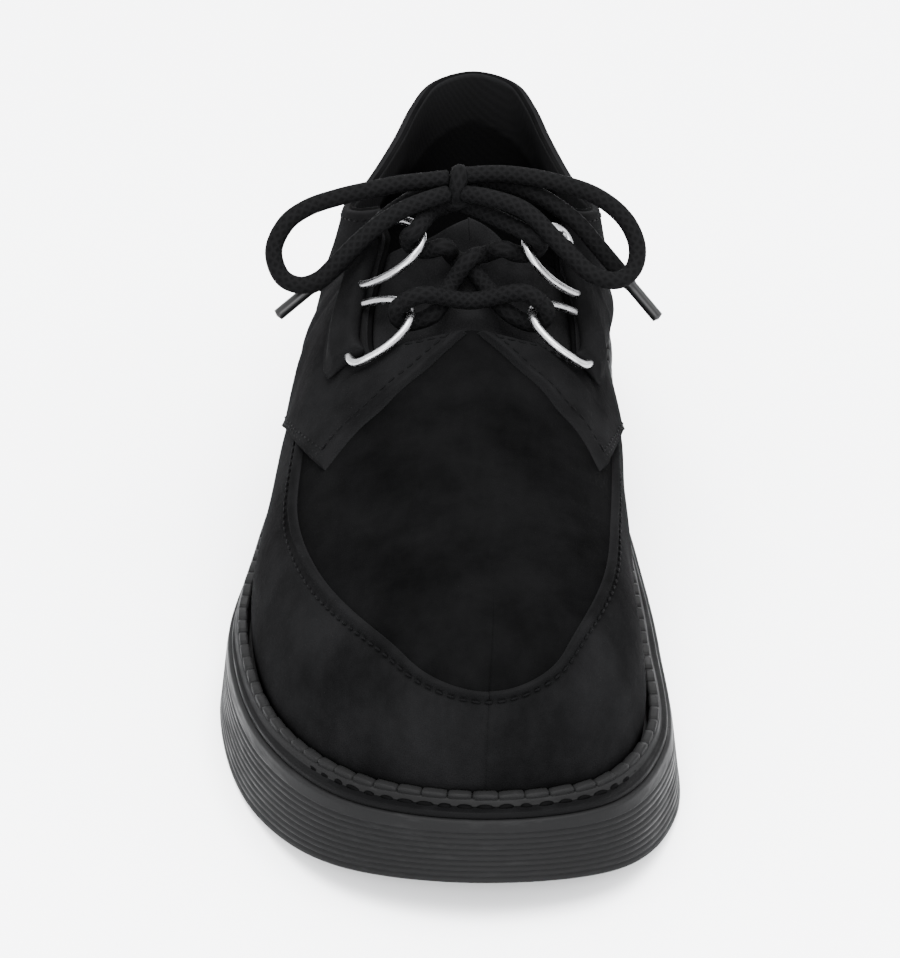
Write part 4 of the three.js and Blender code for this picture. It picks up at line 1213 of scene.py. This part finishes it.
def build_welt(sizes):
    side, station = round_the_sole(SOLE_STATIONS)
    profile = [seat(side, station, WELT_SETBACK + inset, lift) for inset, lift in (
        (0, 0), (0, WELT_THICKNESS * 0.6), (0.25, WELT_THICKNESS * 0.9), (0.8, WELT_THICKNESS))]
    profile += [wall_at(side, station, height, out) for height, out in (
        (WELT_THICKNESS, BEAD_WIDTH + 0.3), (WELT_THICKNESS + 0.3, BEAD_WIDTH),
        (BEAD_HEIGHT - 0.5, BEAD_WIDTH - 0.3), (BEAD_HEIGHT - 0.1, BEAD_WIDTH - 0.8),
        (BEAD_HEIGHT, BEAD_WIDTH - 1.4), (BEAD_HEIGHT, 0.4), (0, 0))]
    faces = bands(len(side), len(profile), True)
    picks = np.repeat([0] * 4 + [1] * 7, len(side))  # the ledge, then the bead
    welt = add_mesh("derby_welt", np.vstack(profile), faces, ["welt", "rubber"], picks)
    turn_out(welt)
    smooth_by_angle(welt, 50)
    finish_piece(welt, "welt_rubber", "welt")

    def loop(points):
        return [(np.vstack([points, points[:1]]), (0, 0, 1.0))]

    step = sizes.tooth_step * 1000
    teeth = repeated(
        "derby_welt_teeth", loop(wall_at(side, station, BEAD_HEIGHT, BEAD_WIDTH * 0.42)), "tooth", "rubber",
        3, 0.07, Step=step, Length=step * 0.9, Width=BEAD_WIDTH * 0.66, Height=2.1)
    finish_piece(teeth, "welt_rubber")
    stitches = repeated(
        "derby_welt_stitches", loop(seat(side, station, WELT_SETBACK + 2.8, WELT_THICKNESS)), "stitch",
        "twine", 11, 0.25, Step=4.6, Length=3.7, Width=1.5, Height=1.3)
    finish_piece(stitches, "welt_rubber")


def build_insole():
    side, station = round_the_sole(90)

    def ring(inset, lift):
        return seat(side, station, ledge_width(side, station) + WALL + CLEARANCE + inset, lift)

    steps = ((8, 0.3), (2.4, 0), (1.2, 0.2), (0.5, 0.8), (0.3, 1.4), (0.3, INSOLE_THICKNESS))
    rings = [ring(inset, INSOLE_THICKNESS - down) for inset, down in steps]
    # The insole holds no band attribute, so the lining finish paints it in its darker colour all over:
    # painted shade for the dark floor of the shoe.
    return closed_piece(ring_stack("derby_insole", rings, "lining"), "lining", "insole")


# The upper
def knee(side):
    return float(facing(side, THROAT))


def build_vamp():
    """The hollow wall of the upper: the apron over the foot, with the lining inside."""
    sheet = Sheet()
    front = np.concatenate([np.linspace(0, 1, 26)[:-1], np.linspace(1, THROAT, 62)])
    back = np.linspace(THROAT, HEEL_END, 84)
    both = np.concatenate([front, back[1:]])
    shares = np.linspace(0, 1, 36)
    for side in (-1, 1):
        edge = np.where(both <= THROAT, knee(side), facing(side, both))
        sheet.patch(side, both[:, None], edge[:, None] * shares)
        sheet.patch(side, front[:, None], knee(side) + (1 - knee(side)) * np.linspace(0, 1, 14))
    vamp = sheet.thicken("derby_vamp", lambda l: 0, lambda l: -WALL, ["apron", "lining"])
    _, station, share, _, _ = np.array(sheet.spots).T
    # The band round the top of the heel, where the lining keeps its own colour; everywhere else the lining
    # finish paints it darker as painted shade.
    edge = 0.72 - 0.2 * smoothstep(HEEL_END - station, 0, 1.3)
    unshaded_band = smoothstep(share - edge, -0.012, 0.012) * smoothstep(station, 5.0, 5.1)
    attach(vamp.data, "unshaded_band", np.tile(unshaded_band, 2))
    return closed_piece(vamp, "suede", "upper")


def seam_roll(away, height):
    """The raised roll behind a panel's edge and the dip after it, by distance in millimetres."""
    roll = np.exp(-((away - 2.2) / 1.6) ** 2)
    dip = np.exp(-((away - 6.0) / 1.5) ** 2)
    return height * (roll - 0.5 * dip)


def panel_depth(step):
    """The offsets of a panel's outer and inner side by lift: thin at its rounded edges."""
    return lambda lifts: 0.15 + (step - 0.15) * lifts, lambda lifts: -UNDERLAP


def build_mudguard(sizes):
    sheet = Sheet()
    near = 0.82 + 0.18 * eased(14, (False, True), 10.8)
    across = np.concatenate([np.linspace(0, 0.82, 18)[:-1], near])
    lifts = rounding(across, GUARD_WIDTH, (False, True))
    rolls = lifts * seam_roll((1 - across) * GUARD_WIDTH, sizes.seam_roll * 1000)
    t = np.linspace(0, 1, 120)
    for side in (-1, 1):
        station = t[:, None] * (FACING_TOP + (APRON_END - FACING_TOP) * across)
        high = apron(side, t * APRON_END)[:, None]
        sheet.patch(side, station, LOW_SHARE + (high - LOW_SHARE) * across, lifts, rolls)
    guard = sheet.thicken("derby_mudguard", *panel_depth(MUDGUARD_STEP), ["suede"])
    return closed_piece(guard, "suede")


def wing(side, part, t):
    """The quarter's front part, between its lower and its upper line."""
    part, t = spread(part, t)
    at = np.linspace(0, 1, len(WING["low"]))
    top = np.interp(part, at, WING["top"])
    limit = np.where(top < THROAT, 1, facing(side, top) - 0.01)
    top_share = np.minimum(np.interp(part, at, WING["top_share"]), limit)
    low = np.interp(part, at, WING["low"])
    low_share = np.interp(part, at, WING["low_share"])
    return low + (top - low) * t, low_share + (top_share - low_share) * t


def build_quarters():
    sheet = Sheet()
    across = eased(26, (True, True), QUARTER_HEIGHT)
    part = eased(60, (True, False), QUARTER_LENGTH)[:, None]
    rear = np.linspace(FACING_TOP, HEEL_END, 70)[:, None]
    for side in (-1, 1):
        station, share = wing(side, part, across)
        lifts = rounding(part, QUARTER_LENGTH, (True, False)) * rounding(across, QUARTER_HEIGHT)
        rolls = lifts * np.maximum(
            seam_roll(part * QUARTER_LENGTH, QUARTER_ROLL),
            seam_roll(across * QUARTER_HEIGHT, QUARTER_ROLL) * smoothstep(1 - part, 0.1, 0.3))
        wave = 1 + 0.45 * np.sin(across * 21 + 2 * side) * np.cos(part * 17)
        sheet.patch(side, station, share, lifts, rolls * wave)
        sheet.patch(side, rear, LOW_SHARE + 0.985 * across, rounding(across, QUARTER_HEIGHT, (False, True)))
    quarters = sheet.thicken("derby_quarters", *panel_depth(QUARTER_STEP), ["suede"])
    return closed_piece(quarters, "suede")


def build_heel_strip():
    """The strip that covers the seam up the back of the heel."""
    sheet = Sheet()
    along = eased(40, (False, True), QUARTER_HEIGHT)
    near = eased(10, (True, False), STRIP_WIDTH)[:, None]
    lifts = rounding(near, STRIP_WIDTH, (True, False)) * rounding(along, QUARTER_HEIGHT, (False, True))
    for side in (-1, 1):
        station = HEEL_END - (0.3 + 0.12 * (1 - along) ** 2) * (1 - near)
        sheet.patch(side, station, 0.03 + 0.925 * along, lifts)
    strip = sheet.thicken("derby_heel_strip", lambda l: QUARTER_STEP + 0.05 + 0.65 * l, lambda l: 0.8,
                          ["suede"])
    return closed_piece(strip, "suede")


def tongue_depth(side, station, share):
    """How far the tongue's top lies under the last, and how much more its crown does."""
    edge = facing(side, np.clip(station, THROAT, TONGUE_TOP))
    depth = WALL + TONGUE_GAP + TONGUE_SINK * smoothstep(share, edge - 0.02, edge + 0.12)
    return depth, TONGUE_CROWN * smoothstep(share, 0.84, 1) * smoothstep(station, 4.5, 4.8)


def build_tongue():
    sheet = Sheet(HEEL_END)
    stations = np.concatenate([
        np.linspace(TONGUE_START, TONGUE_TOP, 44), np.linspace(TONGUE_TOP + 0.02, TONGUE_END, 12)])
    across = eased(22, (True, False), TONGUE_WIDTH)
    for side in (-1, 1):
        low = facing(side, np.clip(stations, THROAT, TONGUE_TOP))[:, None] - TONGUE_TUCK
        end = nose(TONGUE_END - stations[:, None], TONGUE_ROUNDING)
        sheet.patch(side, stations[:, None], low + (1 - low) * across,
                    rounding(across, TONGUE_WIDTH, (True, False)) * end)
    past_top = TONGUE_END - TONGUE_TOP
    lean = unit(ridge(np.array(TONGUE_TOP)) - ridge(np.array(TONGUE_TOP - past_top)))

    def place(side, station, share, offset):
        past = np.maximum(station - TONGUE_TOP, 0) / past_top
        held = 0.25 + 0.75 * np.sqrt(smoothstep(share, 0.68, 1))
        depth, crown = tongue_depth(side, station, share)
        point = layer(side, np.minimum(station, TONGUE_TOP), share, offset - depth - crown)
        return point + lean * (TONGUE_RISE * past * held)[:, None]

    half = TONGUE_THICKNESS / 2
    tongue = sheet.thicken("derby_tongue", lambda l: half * l - half, lambda l: -half * l - half,
                           ["tongue"], place)
    turn_out(tongue)
    soft = tongue.modifiers.new("soft", "SMOOTH")
    soft.factor = 0.5
    soft.iterations = TONGUE_SOFTENING
    settled(tongue)
    finish_piece(tongue, "tongue_suede", "tongue")


# Rings and straps
def ring_frame(ring):
    """The middle of a ring's bar, and the ways along it, into the ring's hole and up from the ring."""
    side, station, inset, slope = ring
    lift = QUARTER_STEP + STRAP_SEAT + STRAP_FOLD / 2

    def at(shift):
        where = np.array(station + shift)
        return layer(float(side), where, facing(float(side), where) - inset, lift)

    along = unit(at(0.15) - at(-0.15))
    flat = unit(np.array([-side, 0, 0]) + along * side * along[0])
    up = unit(np.cross(along, flat) * side)
    turn = math.radians(slope)
    inward = flat * math.cos(turn) + up * math.sin(turn)
    return at(0.0), along, inward, up * math.cos(turn) - flat * math.sin(turn)


def build_ring(name, ring):
    origin, along, inward, _ = ring_frame(ring)
    points = [origin + along * across * RING_SPAN + inward * reach * RING_REACH
              for across, reach in RING_SHAPE]
    piece = tube("derby_" + name, smooth_path(points, 0.5, True), WIRE / 2, "steel", True)
    return closed_piece(piece, "steel", name)


def strap_inset(side, station):
    front, back = [ring for ring in RINGS.values() if ring[0] == side]
    share = np.clip((station - front[1]) / (back[1] - front[1]), 0, 1)
    return front[2] + (back[2] - front[2]) * share - BAR_SEAT


def build_strap(name, side):
    """The strap, thick where it is folded over the rings' bars and thin where it is sewn down."""
    sheet = Sheet()
    along = eased(50, (True, True), STRAP_LENGTH)
    stations = STRAP_START + (STRAP_END - STRAP_START) * along
    edge = facing(side, stations) - strap_inset(side, stations)
    sheet.patch(side, stations[:, None], edge[:, None] - np.linspace(1, 0, 22) * STRAP_WIDTH,
                rounding(along, STRAP_LENGTH)[:, None])
    folded = STRAP_FOLD + STRAP_PADDING

    def place(side, station, share, half):
        part = (facing(side, station) - share - strap_inset(side[0], station)) / STRAP_WIDTH
        thick = folded + (STRAP_EDGE - folded) * smoothstep(part, 0.5, 0.92)
        middle = QUARTER_STEP + STRAP_SEAT - 0.5 + thick / 2
        ends = nose(part, 0.13) * nose(1 - part, 0.08)
        return layer(side, station, share, middle + thick / 2 * ends * half)

    strap = sheet.thicken("derby_" + name, lambda l: 0.15 + 0.85 * l, lambda l: -0.15 - 0.85 * l,
                          ["suede"], place)
    return closed_piece(strap, "strap_suede", name)


# Lace
def wrap(name, degrees, shift=0.0):
    """Round a ring's wire: 0 degrees is over it, 90 in the ring's hole and 180 under it."""
    origin, _, inward, up = ring_frame(RINGS[name])
    turn = math.radians(degrees)
    radius = (WIRE + LACE) / 2 + CLEARANCE + 0.1
    return origin + inward * (RING_REACH - radius * math.sin(turn) + shift) + up * radius * math.cos(turn)


def over_tongue(side, station, share, lift):
    depth, _ = tongue_depth(side, station, share)
    return layer(side, station, share, LACE / 2 + CLEARANCE + 0.2 + lift - depth)


KNOT = ridge(np.array(TONGUE_TOP)) + np.array([-0.03 * BALL_WIDTH, 0, LACE])


def strand(start, finish, lift):
    """The lace from round one ring, across the tongue, to round another and up to the knot."""
    sides = RINGS[start][0], RINGS[finish][0]
    points = [wrap(start, angle) for angle in (0, 45, 90, 135, 180)]
    points += [
        wrap(start, 180, LACE),
        over_tongue(sides[0], 4.47, 0.93, lift * 0.4),
        over_tongue(sides[0], 4.57, 1.0, lift),
        over_tongue(sides[1], 4.67, 0.93, lift * 0.4),
        wrap(finish, 180, LACE)]
    points += [wrap(finish, angle) for angle in (180, 135, 90, 45, 0)]
    points += [
        KNOT + np.array([sides[1] * 1.3, -0.7, -1.05]) * LACE,
        KNOT + np.array([sides[1] * 0.4, 0, -1.05]) * LACE]
    return smooth_path(points, 0.7)


def bow_path(name):
    side, rows = BOW[name]
    return smooth_path([KNOT + np.array([side * out, back, up]) * LACE for out, back, up in rows], 0.8)


def lace(name, path, closed, *nodes):
    return closed_piece(tube("derby_" + name, path, LACE / 2, "cord", closed), "cord", *nodes)


def build_lace_bars():
    paths = {
        "lace_crossing_lateral": strand("ring_medial_front", "ring_lateral_back", 0),
        "lace_crossing_medial": strand("ring_lateral_front", "ring_medial_back", 0.9 * LACE),
        "lace_bar": smooth_path([
            wrap("ring_lateral_front", 0, -0.5), wrap("ring_lateral_front", 0, LACE),
            over_tongue(1, 4.32, 1.0, 0.75 * LACE), wrap("ring_medial_front", 0, LACE),
            wrap("ring_medial_front", 0, -0.5)], 0.7),
    }
    for name, path in paths.items():
        lace(name, path, False, "lace_bars")


def build_bow():
    """The knot and the two loops and ends of the bow, each of the length that shows."""
    centre = KNOT + np.array([0.05, -0.1, 0.1]) * LACE
    turns = np.linspace(0, 2 * math.pi, 13)[:-1]
    wrapped = [centre + np.array([0.16 * math.sin(a), -0.62 * math.cos(a), 0.86 * math.sin(a)]) * LACE
               for a in turns]
    knot = lace("lace_knot", smooth_path(wrapped, 0.6, True), True, "lace_knot")
    under = [KNOT + np.array(spot) * LACE for spot in THROW]
    throw = lace("lace_knot_throw", smooth_path(under, 0.6), False)
    for name in BOW:
        path = bow_path(name)
        piece = lace(name, path, False, name)
        going_with = [knot, throw] if name == "lace_loop_lateral" else []
        if "end" in name:
            tip_name = name.replace("end", "tip")
            away = np.linspace(0.1, CLEARANCE + TIP_LENGTH, 14)[:, None]
            line = path[-1] + away * unit(path[-1] - path[-2])
            radii = np.full(14, TIP_WIDTH / 2)
            radii[:2] = LACE / 2 * 0.9, TIP_WIDTH / 2 * 1.12
            tip = tube("derby_" + tip_name, line, radii, "tip")
            going_with = [closed_piece(tip, "tip", tip_name)]
        real = placed(path)
        length = float(np.linalg.norm(np.diff(real, axis=0), axis=1).sum())


# Seams
def seam(side, station, share, lift):
    """A line on the suede, with its outward directions."""
    fine = np.linspace(0, 1, 160)
    station, share = (np.interp(fine, np.linspace(0, 1, len(line)), line) for line in spread(station, share))
    side = np.full(len(fine), float(side))
    return worn_layer(side, station, share, lift), outward(side, station, share)


def build_seams(sizes):
    """Stitches along the apron, twice round each quarter's front, below the collar and up the heel."""
    t = np.linspace(0, 1, 60)
    rows = []
    for side in (-1, 1):
        rows.append(seam(side, t * APRON_END, apron(side, t * APRON_END) - 0.05, MUDGUARD_STEP))
        for part, across in (
                (0.035, t * 0.94 + 0.03), (0.065, t * 0.94 + 0.03), (0.07 + t * 0.76, 0.04),
                (0.07 + t * 0.76, 0.075), (0.07 + t * 0.9, 0.955)):
            rows.append(seam(side, *wing(side, part, across), QUARTER_STEP))
        rows.append(seam(side, FACING_TOP + t * (7.6 - FACING_TOP), 0.95, QUARTER_STEP))
        rows.append(seam(side, HEEL_END - 0.24 - 0.12 * t ** 2, 0.94 - 0.88 * t, QUARTER_STEP + 0.7))
    step = sizes.stitch_step * 1000
    stitches = repeated("derby_panel_stitches", rows, "stitch", "thread", 5, 0.1,
                        Step=step, Length=step * 0.72, Width=0.6, Height=0.6)
    return finish_piece(stitches, "suede")


# What the panel shows
def length_of(name, description, default):
    return bpy.props.FloatProperty(name=name, description=description, default=default, unit="LENGTH")


def colour_of(name, description, *default):
    return bpy.props.FloatVectorProperty(name=name, description=description, subtype="COLOR", default=default)


class DerbySizes(bpy.types.PropertyGroup):
    """Sizes of the details that a maker would change"""

    groove_count: bpy.props.IntProperty(
        name="Sole grooves", description="Grooves round the side of the sole", default=9, min=3, max=16)
    groove_depth: length_of("Groove depth", "Depth of each groove", 0.00032)
    tooth_step: length_of("Tooth step", "From one notch of the welt's bead to the next", 0.0058)
    stitch_step: length_of("Stitch step", "From one stitch of the suede's seams to the next", 0.0029)
    seam_roll: length_of("Seam roll", "Height of the roll along the apron's seam", 0.0009)


class DerbyColours(bpy.types.PropertyGroup):
    """Colours of the finishes"""

    suede: colour_of("Panel suede", "Mudguard, quarters, tongue and straps", 0.0026, 0.0026, 0.0027)
    # The apron's colour is darker partly as painted shade of its upward-facing surface.
    apron: colour_of("Apron suede", "The vamp's smoother suede", 0.00135, 0.00135, 0.0014)
    rubber: colour_of("Sole rubber", "Side and tread of the sole", 0.0064, 0.0064, 0.0065)
    welt: colour_of("Welt rubber", "The ledge round the upper", 0.002, 0.002, 0.0021)
    lining: colour_of("Lining", "Cloth inside the shoe", 0.0056, 0.0056, 0.0058)
    steel: colour_of("Ring steel", "The D-rings", 0.25, 0.25, 0.255)
    lace: colour_of("Lace", "The round lace and its tips", 0.0022, 0.0022, 0.0023)
    thread: colour_of("Thread", "Stitches", 0.0016, 0.0016, 0.0017)


class DerbyStudio(bpy.types.PropertyGroup):
    """The view and the light"""

    elevation: bpy.props.FloatProperty(
        name="Elevation", description="How far the camera looks down", default=math.radians(28),
        subtype="ANGLE")
    distance: length_of("Distance", "From the camera to the shoe", 0.9)
    lens: bpy.props.FloatProperty(name="Lens", description="Focal length in millimetres", default=131.0)
    key: bpy.props.FloatProperty(name="Key light", description="Strength of the light above", default=130.0)
    sky: bpy.props.FloatProperty(name="Sky", description="Strength of the light all round", default=3.6)
    floor: colour_of("Floor", "The pale floor", 0.93, 0.935, 0.945)


def look_at(thing, target):
    way = Vector(target) - thing.location
    thing.rotation_euler = way.to_track_quat("-Z", "Y").to_euler()


class DERBY_OT_camera(bpy.types.Operator):
    """Puts the camera in front of the toe, looking down on the shoe"""

    bl_idname = "derby.camera"
    bl_label = "Camera"

    def execute(self, context):
        studio = context.scene.derby_studio
        back = Vector((0, -math.cos(studio.elevation), math.sin(studio.elevation)))
        data = bpy.data.cameras.new("camera")
        data.sensor_fit = "VERTICAL"
        data.sensor_height = 36
        data.lens = studio.lens
        camera = bpy.data.objects.new("camera", data)
        camera.location = Vector(FOCUS) + back * studio.distance
        context.scene.collection.objects.link(camera)
        look_at(camera, AIM)
        context.scene.camera = camera
        return {"FINISHED"}


class DERBY_OT_lace(bpy.types.Operator):
    """Ties the lace: the strands between the rings, the knot, the loops, the ends and the tips"""

    bl_idname = "derby.lace"
    bl_label = "Lace"

    def execute(self, context):
        build_bow()
        build_lace_bars()
        return {"FINISHED"}


class DERBY_OT_sole(bpy.types.Operator):
    """Moulds the ribbed sole with its arch and tread"""

    bl_idname = "derby.sole"
    bl_label = "Sole"

    def execute(self, context):
        build_outsole(context.scene.derby_sizes)
        build_insole()
        return {"FINISHED"}


class DERBY_OT_welt(bpy.types.Operator):
    """Lays the welt with its notched bead and its stitches"""

    bl_idname = "derby.welt"
    bl_label = "Welt"

    def execute(self, context):
        build_welt(context.scene.derby_sizes)
        return {"FINISHED"}


class DERBY_OT_upper(bpy.types.Operator):
    """Makes the vamp, the mudguard and the quarters, with their creases"""

    bl_idname = "derby.upper"
    bl_label = "Upper"

    def execute(self, context):
        build_vamp()
        build_mudguard(context.scene.derby_sizes)
        build_quarters()
        build_heel_strip()
        build_seams(context.scene.derby_sizes)
        return {"FINISHED"}


class DERBY_OT_tongue(bpy.types.Operator):
    """Sets the tongue under the facings"""

    bl_idname = "derby.tongue"
    bl_label = "Tongue"

    def execute(self, context):
        build_tongue()
        return {"FINISHED"}


class DERBY_OT_rings(bpy.types.Operator):
    """Hangs the four D-rings in their two folded straps"""

    bl_idname = "derby.rings"
    bl_label = "Rings and straps"

    def execute(self, context):
        for name, ring in RINGS.items():
            build_ring(name, ring)
        build_strap("ring_strap_lateral", -1)
        build_strap("ring_strap_medial", 1)
        return {"FINISHED"}


class DERBY_OT_stage(bpy.types.Operator):
    """Lays the pale floor and hangs the soft lights"""

    bl_idname = "derby.stage"
    bl_label = "Stage"

    def execute(self, context):
        studio = context.scene.derby_studio
        mesh = bpy.data.meshes.new("floor")
        mesh.from_pydata([(-6, -6, 0), (6, -6, 0), (6, 6, 0), (-6, 6, 0)], [], [[0, 1, 2, 3]])
        mesh.materials.append(floor_finish("floor", studio.floor))
        floor = bpy.data.objects.new("floor", mesh)
        context.scene.collection.objects.link(floor)
        world = bpy.data.worlds.new("sky")
        world.use_nodes = True
        background = world.node_tree.nodes["Background"]
        background.inputs["Color"].default_value = (0.975, 0.98, 1.0, 1)
        background.inputs["Strength"].default_value = studio.sky
        context.scene.world = world
        for name, place, size, share in LIGHTS:
            data = bpy.data.lights.new(name, "AREA")
            data.size = size
            data.energy = studio.key * share
            light = bpy.data.objects.new(name, data)
            light.location = place
            context.scene.collection.objects.link(light)
            look_at(light, LIT)
        return {"FINISHED"}


class DERBY_PT_panel(bpy.types.Panel):
    """The shoe's steps, sizes and colours"""

    bl_idname = "DERBY_PT_panel"
    bl_label = "Derby shoe"
    bl_space_type = "VIEW_3D"
    bl_region_type = "UI"
    bl_category = "Derby"

    def draw(self, context):
        for operator in OPERATORS:
            self.layout.operator(operator.bl_idname)
        for label, group in GROUPS.items():
            box = self.layout.box()
            for name in group.__annotations__:
                box.prop(getattr(context.scene, label), name)


OPERATORS = (
    DERBY_OT_camera, DERBY_OT_lace, DERBY_OT_sole, DERBY_OT_welt, DERBY_OT_upper, DERBY_OT_tongue,
    DERBY_OT_rings, DERBY_OT_stage)
GROUPS = {"derby_sizes": DerbySizes, "derby_colours": DerbyColours, "derby_studio": DerbyStudio}
CLASSES = tuple(GROUPS.values()) + OPERATORS + (DERBY_PT_panel,)


def register():
    for item in CLASSES:
        bpy.utils.register_class(item)
    for name, group in GROUPS.items():
        setattr(bpy.types.Scene, name, bpy.props.PointerProperty(type=group))


def unregister():
    for name in GROUPS:
        delattr(bpy.types.Scene, name)
    for item in reversed(CLASSES):
        bpy.utils.unregister_class(item)


def clear_start():
    """Removes what Blender's own start-up file holds."""
    for thing in list(bpy.context.scene.objects):
        if thing.name in ("Cube", "Light", "Camera") and "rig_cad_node" not in thing:
            bpy.data.objects.remove(thing)


def main():
    register()
    clear_start()
    # The camera and the cords come first
    bpy.ops.derby.camera()
    bpy.ops.derby.lace()
    bpy.ops.derby.sole()
    bpy.ops.derby.welt()
    bpy.ops.derby.upper()
    bpy.ops.derby.tongue()
    bpy.ops.derby.rings()
    bpy.ops.derby.stage()


if __name__ == "__main__":
    main()
